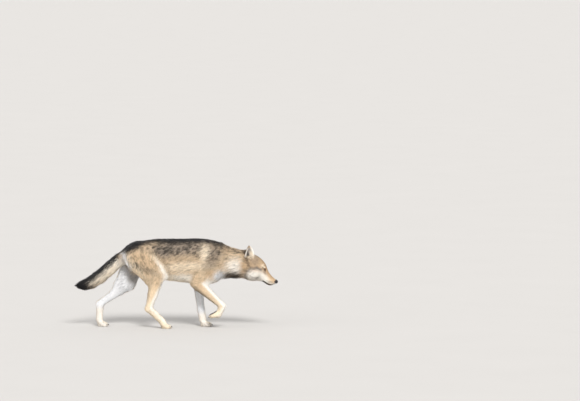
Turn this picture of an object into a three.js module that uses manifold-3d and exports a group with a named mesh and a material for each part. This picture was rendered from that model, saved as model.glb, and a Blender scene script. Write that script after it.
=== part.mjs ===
// A grey wolf at life size, walking with its head held low, as a museum shows one.
// Units are millimetres. +X is towards the nose, +Y to the wolf's left and +Z up, with the floor at z = 0.
// Every surface is the outside of the coat. The body is one smooth field of cones, ellipsoids and barrels,
// turned into meshes piece by piece and parted by thin flat cuts where the named parts meet.
import * as THREE from "three";
import { mergeVertices } from "three/addons/utils/BufferGeometryUtils.js";
import Module from "manifold-3d";

const wasm = await Module();
wasm.setup();

// ---- Driving dimensions ----
const GAP = 0.3; // between neighbouring pieces
const SPECK = 0.03; // the shortest edge that a cut may leave
const LEFT = 1;
const RIGHT = -1;

const TOLERANCE = { trunk: 1.2, neck: 1.2, head: 0.4, tail: 1.1, limb: 1, paw: 0.7 }; // of each kind of mesh
const BLEND = { body: 34, head: 26, face: 13, limb: 14, paw: 7, toe: 4 }; // how far two shapes melt together

// The head's own frame: its origin is the nose tip, and "back" runs from there along the muzzle.
const HEAD = { noseX: 816, noseZ: 371, pitch: THREE.MathUtils.degToRad(38) };
const EYE = { back: 147, up: 12, side: 32, radius: 11.5 };
const EAR = {
  root: [283, 65, -1], height: 112, halfWidth: 47, thickness: 8, cup: 22, sunk: 24,
  rise: [-0.06, 0.21, 0.97], opening: [0.5, 0.86, -0.05],
};
const MOUTH = { frontUp: -46, cornerBack: 102, cornerUp: -70 };
const NOSE_PAD = { back: 22, up: -22 };

// Along the trunk and neck: x, top, bottom, half width.
const TORSO = [
  [-395, 640, 520, 60],
  [-350, 665, 462, 84],
  [-280, 694, 430, 98],
  [-190, 713, 402, 103],
  [-90, 717, 378, 112],
  [20, 717, 362, 121],
  [120, 717, 354, 125],
  [210, 717, 354, 121],
  [290, 706, 366, 110],
  [360, 687, 388, 102],
  [430, 653, 398, 97],
  [500, 634, 398, 95],
  [570, 626, 400, 90],
];

// Along the head, from the nose tip back: back, top, bottom, half width.
const SKULL = [
  [2, -4, -24, 11],
  [9, 0, -38, 17],
  [20, 1, -56, 22],
  [36, 2, -69, 26],
  [62, 4, -76, 30],
  [90, 10, -78, 35],
  [112, 18, -87, 43],
  [134, 33, -101, 53],
  [160, 49, -124, 68],
  [190, 58, -142, 80],
  [222, 62, -140, 88],
  [256, 60, -126, 91],
  [300, 48, -112, 85],
  [340, 30, -96, 66],
];

// The tail's middle line and coat radius, from the root to the tip.
const TAIL = [
  [-376, 608, 46],
  [-444, 555, 55],
  [-518, 488, 58],
  [-602, 413, 57],
  [-668, 367, 54],
  [-728, 343, 47],
  [-776, 336, 32],
  [-812, 337, 5],
];

// Joints of each foreleg in its own upright plane: [x, z], and how far that plane is out from the middle.
const FORELEGS = {
  left: { side: LEFT, shoulder: [272, 470], elbow: [172, 366], carpus: [198, 138], knuckle: [212, 62],
    out: { top: 80, elbow: 78, foot: 62 }, forearm: 42, wrist: 31, standing: true },
  right: { side: RIGHT, shoulder: [288, 462], elbow: [164, 366], carpus: [373, 180], knuckle: [340, 108],
    out: { top: 80, elbow: 80, foot: 72 }, forearm: 52, wrist: 28, bend: THREE.MathUtils.degToRad(152),
    standing: false },
};
const HINDLEGS = {
  left: { side: LEFT, hip: [-300, 590], knee: [-384, 344], hock: [-612, 184], knuckle: [-618, 64],
    out: { top: 66, knee: 72, foot: 76 }, sweep: 66, calf: 36, standing: true },
  right: { side: RIGHT, hip: [-292, 592], knee: [-142, 425], hock: [-216, 160], knuckle: [-104, 54],
    out: { top: 66, knee: 76, foot: 86 }, sweep: 48, calf: 42, standing: true },
};

// One paw, as built pointing along +x from its knuckle joint. drop is the sole's depth below that joint where
// the paw is lifted. On a standing leg it is the joint's own height.
const PAW = { drop: 33, toeRadius: 15, padRadius: 22, hindSize: 0.94 };
const TOES = [ // sideways from the paw's middle line, and how far the toe reaches forward
  { across: -26, reach: 58 },
  { across: -10, reach: 72 },
  { across: 10, reach: 72 },
  { across: 26, reach: 58 },
];
const CLAW = { length: 17, radius: 3.4, drop: 5 };

// ---- Fields: each takes x, y, z and gives a distance that is negative inside ----
const clamp = (v, low, high) => Math.min(high, Math.max(low, v));

// A cone with round ends from a to b. flat is its width in y over its depth.
function cone(a, b, radiusA, radiusB, flat = 1) {
  const d = [b[0] - a[0], b[1] - a[1], b[2] - a[2]];
  const length2 = d[0] ** 2 + d[1] ** 2 + d[2] ** 2;
  return (x, y, z) => {
    const t = clamp(((x - a[0]) * d[0] + (y - a[1]) * d[1] + (z - a[2]) * d[2]) / length2, 0, 1);
    const ex = x - a[0] - d[0] * t;
    const ey = y - a[1] - d[1] * t;
    const ez = z - a[2] - d[2] * t;
    const scaled = Math.hypot(ex, ey / flat, ez);
    const share = scaled > 1e-6 ? Math.hypot(ex, ey, ez) / scaled : 1;
    return (scaled - radiusA - (radiusB - radiusA) * t) * share;
  };
}

// An ellipsoid, turned by pitch about the y axis.
function ellipsoid(centre, radii, pitch = 0) {
  const [c, s] = [Math.cos(pitch), Math.sin(pitch)];
  return (x, y, z) => {
    const [px, py, pz] = [x - centre[0], y - centre[1], z - centre[2]];
    const q = [c * px - s * pz, py, s * px + c * pz];
    const k = Math.hypot(q[0] / radii[0], q[1] / radii[1], q[2] / radii[2]);
    const g = Math.hypot(q[0] / radii[0] ** 2, q[1] / radii[1] ** 2, q[2] / radii[2] ** 2);
    return g < 1e-9 ? -Math.min(...radii) : (k * (k - 1)) / g;
  };
}

// The values of a table of stations at s, on smooth curves through them.
function along(table, s) {
  const last = table.length - 1;
  const at = clamp(s, table[0][0], table[last][0]);
  let i = 0;
  while (i < last - 1 && table[i + 1][0] < at) i++;
  const [p, q] = [table[i], table[i + 1]];
  const step = q[0] - p[0];
  const t = (at - p[0]) / step;
  const slope = (j, k) => {
    const [b, f] = [table[Math.max(j - 1, 0)], table[Math.min(j + 1, last)]];
    return (f[k] - b[k]) / (f[0] - b[0]);
  };
  return p.slice(1).map((v, n) => {
    const k = n + 1;
    const [t2, t3] = [t * t, t * t * t];
    return (2 * t3 - 3 * t2 + 1) * v + (t3 - 2 * t2 + t) * step * slope(i, k)
      + (3 * t2 - 2 * t3) * q[k] + (t3 - t2) * step * slope(i + 1, k);
  });
}

// A body with a top, bottom and half width at each station along its own x. square over 2 gives boxier
// sections, and egg over 0 makes them wider above their middle.
function barrel(table, square, egg) {
  const [start, end] = [table[0][0], table[table.length - 1][0]];
  return (x, y, z) => {
    const [top, bottom, half] = along(table, x);
    const [middle, tall] = [(top + bottom) / 2, (top - bottom) / 2];
    const v = (z - middle) / tall;
    const wide = half * (1 + egg(x) * clamp(v, -1, 1));
    const n = square(x);
    const rho = (Math.abs(y / wide) ** n + Math.abs(v) ** n) ** (1 / n);
    const r = Math.hypot(y, z - middle);
    const round = rho > 1e-6 && r > 1e-6 ? r - r / rho : -Math.min(half, tall);
    const past = Math.max(start - x, x - end);
    return Math.min(Math.max(round, past), 0) + Math.hypot(Math.max(round, 0), Math.max(past, 0));
  };
}

// Shapes melted together over the distance k.
function melt(k, ...shapes) {
  return (x, y, z) => {
    let d = shapes[0](x, y, z);
    for (let i = 1; i < shapes.length; i++) {
      const e = shapes[i](x, y, z);
      const h = Math.max(k - Math.abs(d - e), 0) / k;
      d = Math.min(d, e) - (h * h * k) / 4;
    }
    return d;
  };
}

// ---- The head's frame ----
const HEAD_C = Math.cos(HEAD.pitch);
const HEAD_S = Math.sin(HEAD.pitch);

// From (back, side, up) in the head's frame to the body's frame.
function fromHead(back, side, up) {
  return [HEAD.noseX - HEAD_C * back + HEAD_S * up, side, HEAD.noseZ + HEAD_S * back + HEAD_C * up];
}

function inHead(shape) {
  return (x, y, z) => {
    const [dx, dz] = [x - HEAD.noseX, z - HEAD.noseZ];
    return shape(-HEAD_C * dx + HEAD_S * dz, y, HEAD_S * dx + HEAD_C * dz);
  };
}

const headPoint = (p) => new THREE.Vector3(...fromHead(...p));

// ---- The shapes of the body ----
function headField() {
  const skull = barrel(SKULL,
    (s) => 2 + 0.9 * clamp(1 - s / 150, 0, 1),
    (s) => 0.05 - 0.25 * clamp((s - 100) / 120, 0, 1));
  const brows = [LEFT, RIGHT].map((side) =>
    ellipsoid([EYE.back + 6, side * 30, EYE.up + 15], [18, 12, 8], 0.5));
  const cheeks = [LEFT, RIGHT].map((side) =>
    ellipsoid([205, side * 62, -66], [58, 36, 52], -0.3));
  const lips = [LEFT, RIGHT].map((side) => ellipsoid([50, side * 16, -40], [38, 14, 21], 0.1));
  const nose = ellipsoid([8, 0, -12], [12, 15, 13]);
  return inHead(melt(BLEND.face, melt(BLEND.head, skull, ...cheeks), ...brows, ...lips, nose));
}

const at = (joint, side, out) => [joint[0], side * out, joint[1]];

function forelegField(leg) {
  const { side, out } = leg;
  const shoulder = at(leg.shoulder, side, out.top);
  const elbow = at(leg.elbow, side, out.elbow);
  const carpus = at(leg.carpus, side, (out.elbow + out.foot) / 2);
  const knuckle = at(leg.knuckle, side, out.foot);
  const olecranon = [elbow[0] - 12, elbow[1], elbow[2] - 4];
  const blade = ellipsoid([shoulder[0] - 22, side * 80, shoulder[2] + 96], [72, 44, 128], 0.35);
  const point = [shoulder[0] + 8, shoulder[1], shoulder[2] - 38];
  const crook = [elbow[0] + 80, elbow[1], elbow[2] + 14];
  const arm = melt(BLEND.limb,
    cone(shoulder, elbow, 66, 47, 0.66),
    cone(point, crook, 50, 36, 0.66),
    cone(elbow, carpus, leg.forearm, leg.wrist, 0.8),
    cone(olecranon, [elbow[0] + 60, elbow[1], elbow[2] + 44], 26, 52, 0.7),
    cone(carpus, knuckle, leg.wrist, leg.wrist - 2, 0.9));
  return melt(BLEND.body, blade, arm);
}

function hindlegField(leg) {
  const { side, out } = leg;
  const hip = at(leg.hip, side, out.top);
  const knee = at(leg.knee, side, out.knee);
  const hock = at(leg.hock, side, (out.knee + out.foot) / 2);
  const knuckle = at(leg.knuckle, side, out.foot);
  const down = [hock[0] - knee[0], hock[2] - knee[2]];
  const calf = [knee[0] + down[0] * 0.55, (knee[1] + hock[1]) / 2, knee[2] + down[1] * 0.55];
  const seat = [hip[0] - 66, side * (out.top - 8), hip[2] - 44];
  const heel = [hock[0] - 17, hock[1], hock[2] - 2];
  const back = [knee[0] + down[0] * 0.22 - leg.sweep * 0.5, knee[1], knee[2] + down[1] * 0.22];
  return melt(BLEND.limb * 2,
    melt(BLEND.body,
      cone(hip, knee, 106, 62, 0.5),
      cone(seat, back, 66, 44, 0.66)),
    melt(BLEND.limb,
      cone(knee, calf, 60, leg.calf, 0.66),
      cone(calf, hock, leg.calf, 30, 0.76),
      cone(heel, hock, 19, 26, 0.8),
      cone(hock, knuckle, 31, 27, 0.84)));
}

// Where a paw sits: at its knuckle joint, turned down by the bend.
function pawFrame({ knuckle, side, out, bend = 0 }) {
  return new THREE.Matrix4().makeRotationY(bend).setPosition(knuckle[0], side * out.foot, knuckle[1]);
}

const soleOf = (leg) => (leg.standing ? -leg.knuckle[1] : -PAW.drop);

function pawField(leg, size) {
  const sole = soleOf(leg);
  const toes = TOES.map(({ across, reach }) => {
    const [y, tip] = [across * size, reach * size];
    return melt(BLEND.toe,
      cone([6, y * 0.8, sole + 31], [tip - 17, y, sole + 19], 15, PAW.toeRadius),
      cone([tip - 19, y, sole + 12], [tip - 10, y, sole + 9], 14.5, 12));
  });
  const shape = melt(BLEND.paw,
    cone([-4, 0, sole * 0.15], [12, 0, sole + 30], 25, 24),
    ellipsoid([14, 0, sole + 16], [32 * size, 31 * size, PAW.padRadius]),
    melt(BLEND.toe, ...toes));
  const inverse = pawFrame(leg).invert();
  const p = new THREE.Vector3();
  return (x, y, z) => {
    p.set(x, y, z).applyMatrix4(inverse);
    return shape(p.x, p.y, p.z);
  };
}

function tailField() {
  const parts = TAIL.slice(1).map((b, i) => {
    const a = TAIL[i];
    return cone([a[0], 0, a[1]], [b[0], 0, b[1]], a[2], b[2], 0.94);
  });
  return melt(6, ...parts);
}

// ---- Fewer triangles ----
// The area-weighted sum of squared distances to a triangle's plane, as the ten coefficients and the weight.
function planeError(a, b, c) {
  const n = new THREE.Vector3().subVectors(b, a).cross(new THREE.Vector3().subVectors(c, a));
  const area = n.length();
  if (area < 1e-12) return new Array(11).fill(0);
  n.divideScalar(area);
  const d = -n.dot(a);
  const { x, y, z } = n;
  return [x * x, x * y, x * z, x * d, y * y, y * z, y * d, z * z, z * d, d * d, 1].map((v) => v * area);
}

// The typical distance from p to the planes gathered in q.
function distanceTo(q, { x, y, z }) {
  const sum = q[0] * x * x + q[4] * y * y + q[7] * z * z + q[9]
    + 2 * (q[1] * x * y + q[2] * x * z + q[5] * y * z + q[3] * x + q[6] * y + q[8] * z);
  return Math.sqrt(Math.max(sum, 0) / Math.max(q[10], 1e-12));
}

// The point that lies nearest to the planes gathered in q, and near the middle m where they leave it free.
function nearestPoint(q, m) {
  const pull = 1e-3 * q[10];
  const inverse = new THREE.Matrix3()
    .set(q[0] + pull, q[1], q[2], q[1], q[4] + pull, q[5], q[2], q[5], q[7] + pull)
    .invert();
  return new THREE.Vector3(pull * m.x - q[3], pull * m.y - q[6], pull * m.z - q[8]).applyMatrix3(inverse);
}

// One sweep of edge collapses, cheapest first, each at least a ring of triangles away from the others. choose
// gives an edge's { cost, point }, or nothing where the edge stays. An edge that would fold a face over stays
// too, unless its choice says it is a speck. True when any edge went.
function sweep(points, faces, errors, choose) {
  const around = points.map(() => []);
  faces.forEach((face) => face.forEach((v) => around[v].push(face)));
  const ring = (v) => new Set(around[v].flat().filter((w) => w !== v));
  const candidates = [];
  for (const face of faces)
    for (let k = 0; k < 3; k++) {
      const [a, b] = [face[k], face[(k + 1) % 3]];
      const choice = a < b && choose(a, b);
      if (choice) candidates.push({ a, b, ...choice });
    }
  candidates.sort((s, t) => s.cost - t.cost);
  const normal = (face) => {
    const [a, b, c] = face.map((v) => points[v]);
    return new THREE.Vector3().subVectors(b, a).cross(new THREE.Vector3().subVectors(c, a));
  };
  const touched = new Set();
  const gone = new Set();
  for (const { a, b, point, speck } of candidates) {
    if (touched.has(a) || touched.has(b)) continue;
    const [ringA, ringB] = [ring(a), ring(b)];
    if ([...ringA].filter((v) => ringB.has(v)).length !== 2) continue;
    const kept = [...around[a], ...around[b]].filter((face) => !(face.includes(a) && face.includes(b)));
    const before = kept.map(normal);
    const [oldA, oldB] = [points[a], points[b]];
    points[a] = points[b] = point;
    const folds = !speck && kept.some((face, i) => {
      const n = normal(face);
      return n.dot(before[i]) <= 0.3 * n.length() * before[i].length() || n.length() < 1e-3;
    });
    if (folds) {
      [points[a], points[b]] = [oldA, oldB];
      continue;
    }
    around[b].forEach((face) => (face.includes(a) ? gone.add(face) : (face[face.indexOf(b)] = a)));
    errors[a] = errors[a].map((v, i) => v + errors[b][i]);
    [a, b, ...ringA, ...ringB].forEach((v) => touched.add(v));
  }
  if (!gone.size) return false;
  faces.splice(0, faces.length, ...faces.filter((face) => !gone.has(face)));
  return true;
}

// The mesh with edges collapsed as long as its surface stays within tolerance.
function thin(points, faces, tolerance) {
  const errors = points.map(() => new Array(11).fill(0));
  for (const face of faces) {
    const q = planeError(...face.map((v) => points[v]));
    face.forEach((v) => {
      errors[v] = errors[v].map((e, i) => e + q[i]);
    });
  }
  const middle = new THREE.Vector3();
  const choose = (a, b) => {
    const q = errors[a].map((v, i) => v + errors[b][i]);
    const point = nearestPoint(q, middle.addVectors(points[a], points[b]).multiplyScalar(0.5));
    const cost = distanceTo(q, point);
    return cost < tolerance && { cost, point };
  };
  while (sweep(points, faces, errors, choose));
}

// The mesh without the specks that cuts leave: edges so short that their ends are the same point.
function withoutSpecks(points, faces) {
  const errors = points.map(() => [0]);
  const choose = (a, b) => {
    const cost = points[a].distanceTo(points[b]);
    return cost < SPECK && { cost, point: points[a], speck: true };
  };
  while (sweep(points, faces, errors, choose));
}

// A list of points and faces as a solid, and back.
function toSolid(points, faces) {
  const numbers = new Map();
  const used = [];
  const triangles = faces.flat().map((v) => {
    if (!numbers.has(v)) numbers.set(v, used.push(points[v]) - 1);
    return numbers.get(v);
  });
  return new wasm.Manifold(new wasm.Mesh({
    numProp: 3,
    vertProperties: new Float32Array(used.flatMap((p) => p.toArray())),
    triVerts: new Uint32Array(triangles),
  }));
}

function fromSolid(solid) {
  const { numProp, vertProperties, triVerts } = solid.getMesh();
  const points = Array.from({ length: vertProperties.length / numProp }, (_, i) =>
    new THREE.Vector3().fromArray(vertProperties, i * numProp));
  const faces = Array.from({ length: triVerts.length / 3 }, (_, i) =>
    [...triVerts.slice(3 * i, 3 * i + 3)]);
  return [points, faces];
}

// ---- From a field to a mesh ----
// A closed mesh of the field inside a box of cells, by surface nets with each point moved on to the surface,
// thinned out to a tolerance. The box is turned by pitch about y, so that long cells can lie along a limb.
function solidOf(field, { origin, pitch = 0, low, high, cell, tolerance }) {
  const frame = new THREE.Matrix4().makeRotationY(pitch).setPosition(...origin);
  const count = [0, 1, 2].map((k) => Math.round((high[k] - low[k]) / cell[k]));
  const size = [0, 1, 2].map((k) => (high[k] - low[k]) / count[k]);
  const point = new THREE.Vector3();
  const world = (i, j, k) => point
    .set(low[0] + i * size[0], low[1] + j * size[1], low[2] + k * size[2])
    .applyMatrix4(frame);
  const index = (i, j, k) => (i * (count[1] + 1) + j) * (count[2] + 1) + k;
  const value = new Float64Array((count[0] + 1) * (count[1] + 1) * (count[2] + 1));
  for (let i = 0; i <= count[0]; i++)
    for (let j = 0; j <= count[1]; j++)
      for (let k = 0; k <= count[2]; k++) {
        const edge = [i, j, k].some((v, n) => v === 0 || v === count[n]);
        const p = world(i, j, k);
        const f = field(p.x, p.y, p.z);
        value[index(i, j, k)] = edge ? Math.max(f, 0.1 * size[0]) : f;
      }
  const corners = [0, 1, 2, 3, 4, 5, 6, 7].map((n) => [n & 1, (n >> 1) & 1, n >> 2]);
  const edges = [];
  corners.forEach((a, m) => corners.forEach((b, n) => {
    if (m < n && a.reduce((sum, v, k) => sum + Math.abs(v - b[k]), 0) === 1) edges.push([a, b]);
  }));
  const vertices = [];
  const vertexOf = new Map();
  const reach = 0.45 * Math.min(...size);
  const gradient = (p, h = 0.5) => new THREE.Vector3(
    field(p.x + h, p.y, p.z) - field(p.x - h, p.y, p.z),
    field(p.x, p.y + h, p.z) - field(p.x, p.y - h, p.z),
    field(p.x, p.y, p.z + h) - field(p.x, p.y, p.z - h)).divideScalar(2 * h);
  for (let i = 0; i < count[0]; i++)
    for (let j = 0; j < count[1]; j++)
      for (let k = 0; k < count[2]; k++) {
        const sum = [0, 0, 0];
        let crossings = 0;
        for (const [a, b] of edges) {
          const fa = value[index(i + a[0], j + a[1], k + a[2])];
          const fb = value[index(i + b[0], j + b[1], k + b[2])];
          if (fa < 0 === fb < 0) continue;
          const t = fa / (fa - fb);
          for (let n = 0; n < 3; n++) sum[n] += a[n] + (b[n] - a[n]) * t;
          crossings++;
        }
        if (!crossings) continue;
        const p = world(i + sum[0] / crossings, j + sum[1] / crossings, k + sum[2] / crossings).clone();
        const start = p.clone();
        for (let n = 0; n < 4; n++) {
          const g = gradient(p);
          const step = -field(p.x, p.y, p.z) / Math.max(g.lengthSq(), 0.05);
          p.addScaledVector(g, clamp(step, -reach, reach));
        }
        const moved = p.clone().sub(start);
        if (moved.length() > reach) p.copy(start).addScaledVector(moved, reach / moved.length());
        vertexOf.set(index(i, j, k), vertices.length);
        vertices.push(p);
      }
  const faces = [];
  const middle = new THREE.Vector3();
  const offSurface = (a, b) => {
    middle.addVectors(vertices[a], vertices[b]).multiplyScalar(0.5);
    return Math.abs(field(middle.x, middle.y, middle.z));
  };
  const quad = (a, b, c, d) => {
    if (offSurface(a, c) <= offSurface(b, d)) faces.push([a, b, c], [a, c, d]);
    else faces.push([a, b, d], [b, c, d]);
  };
  for (let i = 0; i < count[0]; i++)
    for (let j = 0; j < count[1]; j++)
      for (let k = 0; k < count[2]; k++)
        for (let axis = 0; axis < 3; axis++) {
          const here = [i, j, k];
          const next = here.map((v, n) => v + (n === axis ? 1 : 0));
          const [u, v] = [(axis + 1) % 3, (axis + 2) % 3];
          if (!here[u] || !here[v]) continue;
          const inside = value[index(...here)] < 0;
          if (inside === value[index(...next)] < 0) continue;
          const ring = [[0, 0], [1, 0], [1, 1], [0, 1]].map(([du, dv]) => {
            const c = [...here];
            c[u] -= du;
            c[v] -= dv;
            return vertexOf.get(index(...c));
          });
          quad(...(inside ? ring : ring.reverse()));
        }
  thin(vertices, faces, tolerance);
  return toSolid(vertices, faces);
}

// ---- Cuts ----
// What lies on the side of a plane that its normal points to, less the share of the gap.
function beyond(solid, normal, point, gap = GAP / 2) {
  const n = new THREE.Vector3(...normal).normalize();
  return solid.trimByPlane(n.toArray(), n.dot(new THREE.Vector3(...point)) + gap);
}

// What lies behind a plane.
const behind = (solid, normal, point, gap) => beyond(solid, normal.map((v) => -v), point, gap);

// A closed three.js geometry as a solid.
function fromGeometry(geometry) {
  const merged = new THREE.BufferGeometry();
  merged.setAttribute("position", geometry.getAttribute("position"));
  merged.setIndex(geometry.index);
  const { index, attributes } = mergeVertices(merged, 1e-4);
  const points = Array.from({ length: attributes.position.count }, (_, i) =>
    new THREE.Vector3().fromBufferAttribute(attributes.position, i));
  const faces = Array.from({ length: index.count / 3 }, (_, i) =>
    [0, 1, 2].map((k) => index.getX(3 * i + k)));
  return toSolid(points, faces.filter((face) => new Set(face).size === 3));
}

// The largest of the pieces that a cut leaves.
const largest = (solid) => solid.decompose().reduce((a, b) => (b.volume() > a.volume() ? b : a));

// The region that each leg's upper piece takes from the body: under a plane that rises outwards from the
// crotch, between a front plane and, on a foreleg, a rear plane.
const REGION = {
  fore: {
    crotch: 344, rise: 1.62,
    front: { point: [354, 0, 520], normal: [1, 0, -0.1] },
    rear: { point: [118, 0, 372], normal: [0.9, 0, -0.42] },
  },
  hind: { crotch: 372, rise: 2.35, front: { point: [-92, 0, 520], normal: [0.86, 0, 0.5] } },
};

function legRegion(side, { crotch, rise, front, rear }, gap, past = 0) {
  let box = fromGeometry(new THREE.BoxGeometry(1400, 400, 1400).translate(0, side * (200 - past), 300));
  box = beyond(box, [0, side * rise, -1], [0, 0, crotch], gap);
  box = behind(box, front.normal, front.point, gap);
  return rear ? beyond(box, rear.normal, rear.point, gap) : box;
}

// ---- The pieces ----
const head = headField();
const tail = tailField();
const torso = barrel(TORSO, () => 2.15, (x) => 0.1 * clamp((x + 100) / 200, -0.6, 1));
const rump = ellipsoid([-305, 0, 582], [116, 92, 106], 0.35);
const brisket = ellipsoid([262, 0, 420], [84, 58, 62], 0.5);
const throat = cone([430, 0, 520], [556, 0, 498], 104, 88, 0.92);
const trunkField = melt(BLEND.body, torso, rump, brisket);
const foreField = Object.fromEntries(Object.entries(FORELEGS).map(([k, leg]) => [k, forelegField(leg)]));
const hindField = Object.fromEntries(Object.entries(HINDLEGS).map(([k, leg]) => [k, hindlegField(leg)]));
const legFields = [...Object.values(foreField), ...Object.values(hindField)];
const bodyField = melt(BLEND.body, trunkField, throat, ...legFields);
const wholeField = melt(BLEND.head, melt(BLEND.body, bodyField, head), tail);

const NECK_CUT = { point: [374, 0, 520], normal: [1, 0, -0.1] };
const HEAD_CUT = { point: [542, 0, 500], normal: [1, 0, 0] };
const TAIL_CUT = { point: [-424, 0, 566], normal: [-0.78, 0, -0.62] };
const TAIL_MIDDLE = { point: [-600, 0, 411], normal: [-0.8, 0, -0.6] };

const pieces = new Map(); // node name to { solid, look }
const add = (name, solid, look) => pieces.set(name, { solid: largest(solid), look });

function addTrunkAndNeck() {
  let trunk = solidOf(wholeField, {
    origin: [-20, 0, 540], low: [-440, -175, -240], high: [440, 175, 240], cell: [22, 18, 18],
    tolerance: TOLERANCE.trunk,
  });
  trunk = behind(trunk, NECK_CUT.normal, NECK_CUT.point);
  trunk = behind(trunk, TAIL_CUT.normal, TAIL_CUT.point);
  for (const side of [LEFT, RIGHT])
    for (const region of [REGION.fore, REGION.hind])
      trunk = trunk.subtract(legRegion(side, region, -GAP / 2, 6));
  add("trunk", trunk, "coat_grey");
  let neck = solidOf(wholeField, {
    origin: [470, 0, 520], low: [-160, -150, -160], high: [160, 150, 160], cell: [18, 16, 16],
    tolerance: TOLERANCE.neck,
  });
  neck = beyond(neck, NECK_CUT.normal, NECK_CUT.point);
  add("neck", behind(neck, HEAD_CUT.normal, HEAD_CUT.point), "coat_tan");
}

// The ear as a curved sheet with a back and a front. grow makes the slot that it stands in.
function earSolid(side, grow) {
  const [rows, columns] = [7, 6];
  const outwards = ([x, y, z]) => new THREE.Vector3(x, side * y, z);
  const root = headPoint([EAR.root[0], side * EAR.root[1], EAR.root[2]]);
  const rise = outwards(EAR.rise).normalize();
  const open = outwards(EAR.opening);
  open.addScaledVector(rise, -open.dot(rise)).normalize();
  const across = new THREE.Vector3().crossVectors(rise, open);
  const positions = [];
  const sheet = (front) => {
    for (let i = 0; i <= rows; i++)
      for (let j = 0; j <= columns; j++) {
        const s = i / rows;
        const t = (2 * j) / columns - 1;
        const half = (EAR.halfWidth + grow) * (1 - s ** 1.9) ** 0.85 + 1.5;
        const cup = EAR.cup * (1 - 0.75 * s) * (1 - t * t);
        const thick = (EAR.thickness * (1 - 0.35 * s) * (1 - 0.5 * t ** 4)) / 2 + grow;
        positions.push(root.clone()
          .addScaledVector(rise, -EAR.sunk + (EAR.height + EAR.sunk + grow) * s)
          .addScaledVector(across, half * t)
          .addScaledVector(open, -cup + (front ? thick : -thick)));
      }
  };
  sheet(true);
  sheet(false);
  const width = columns + 1;
  const offset = (rows + 1) * width;
  const id = (i, j, front) => i * width + j + (front ? 0 : offset);
  const triangles = [];
  const quad = (a, b, c, d) => triangles.push(a, b, c, a, c, d);
  for (let i = 0; i < rows; i++)
    for (let j = 0; j < columns; j++) {
      quad(id(i, j, true), id(i, j + 1, true), id(i + 1, j + 1, true), id(i + 1, j, true));
      quad(id(i, j, false), id(i + 1, j, false), id(i + 1, j + 1, false), id(i, j + 1, false));
    }
  for (let i = 0; i < rows; i++) {
    quad(id(i, 0, true), id(i + 1, 0, true), id(i + 1, 0, false), id(i, 0, false));
    quad(id(i, columns, true), id(i, columns, false), id(i + 1, columns, false), id(i + 1, columns, true));
  }
  for (let j = 0; j < columns; j++) {
    quad(id(0, j, true), id(0, j, false), id(0, j + 1, false), id(0, j + 1, true));
    quad(id(rows, j, true), id(rows, j + 1, true), id(rows, j + 1, false), id(rows, j, false));
  }
  const geometry = new THREE.BufferGeometry().setFromPoints(positions);
  geometry.setIndex(triangles);
  const solid = fromGeometry(geometry);
  if (solid.volume() > 0) return solid;
  for (let i = 0; i < triangles.length; i += 3)
    [triangles[i + 1], triangles[i + 2]] = [triangles[i + 2], triangles[i + 1]];
  geometry.setIndex(triangles);
  return fromGeometry(geometry);
}

function addHead() {
  let whole = solidOf(wholeField, {
    origin: fromHead(165, 0, -35), pitch: HEAD.pitch, low: [-240, -120, -165], high: [180, 120, 130],
    cell: [7.5, 7, 7], tolerance: TOLERANCE.head,
  });
  whole = beyond(whole, HEAD_CUT.normal, HEAD_CUT.point);
  for (const side of [LEFT, RIGHT]) {
    const name = side === LEFT ? "left" : "right";
    const ball = (radius) => fromGeometry(new THREE.SphereGeometry(radius, 10, 8)
      .translate(...fromHead(EYE.back, side * EYE.side, EYE.up)));
    add(`eye_${name}`, ball(EYE.radius), "eye");
    whole = whole.subtract(ball(EYE.radius * 1.02 + GAP));
    add(`ear_${name}`, earSolid(side, 0), "ear");
    whole = whole.subtract(earSolid(side, GAP));
  }
  // The nose pad, in front of one plane and above another.
  const ahead = [HEAD_C, 0, -HEAD_S];
  const over = [HEAD_S, 0, HEAD_C];
  const noseCorner = fromHead(NOSE_PAD.back, 0, NOSE_PAD.up);
  const noseBlock = (gap) => beyond(beyond(
    fromGeometry(new THREE.BoxGeometry(200, 200, 200).translate(...fromHead(0, 0, 0))),
    ahead, noseCorner, gap), over, noseCorner, gap);
  add("nose", whole.intersect(noseBlock(GAP / 2)), "nose");
  whole = whole.subtract(noseBlock(-GAP / 2));
  // The lower jaw, under the line of the lips and ahead of their corner.
  const lipFront = headPoint([0, 0, MOUTH.frontUp]);
  const lipCorner = headPoint([MOUTH.cornerBack, 0, MOUTH.cornerUp]);
  const lipLine = new THREE.Vector3().subVectors(lipFront, lipCorner);
  const underLip = [lipLine.z, 0, -lipLine.x];
  const jawBlock = (gap) => beyond(beyond(
    fromGeometry(new THREE.BoxGeometry(400, 300, 400).translate(...fromHead(60, 0, -60))),
    underLip, lipCorner.toArray(), gap), ahead, lipCorner.toArray(), gap);
  add("lower_jaw", whole.intersect(jawBlock(GAP / 2)), "coat_pale");
  add("head", whole.subtract(jawBlock(-GAP / 2)), "coat_tan");
}

// The tail with the back of the rump, made a little larger by grow.
function tailSolid(grow) {
  const shape = melt(BLEND.body, trunkField, tail);
  const pitch = Math.atan2(TAIL[1][1] - TAIL[4][1], TAIL[1][0] - TAIL[4][0]);
  return solidOf((x, y, z) => shape(x, y, z) - grow, {
    origin: [-620, 0, 450], pitch: -pitch, low: [-270, -75, -125], high: [290, 75, 125], cell: [16, 12, 12],
    tolerance: TOLERANCE.tail,
  });
}

function addTail() {
  const solid = tailSolid(0);
  const root = behind(beyond(solid, TAIL_CUT.normal, TAIL_CUT.point), TAIL_MIDDLE.normal, TAIL_MIDDLE.point);
  add("tail_root", root, "coat_grey");
  add("tail_brush", beyond(solid, TAIL_MIDDLE.normal, TAIL_MIDDLE.point), "coat_dark");
}

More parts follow.
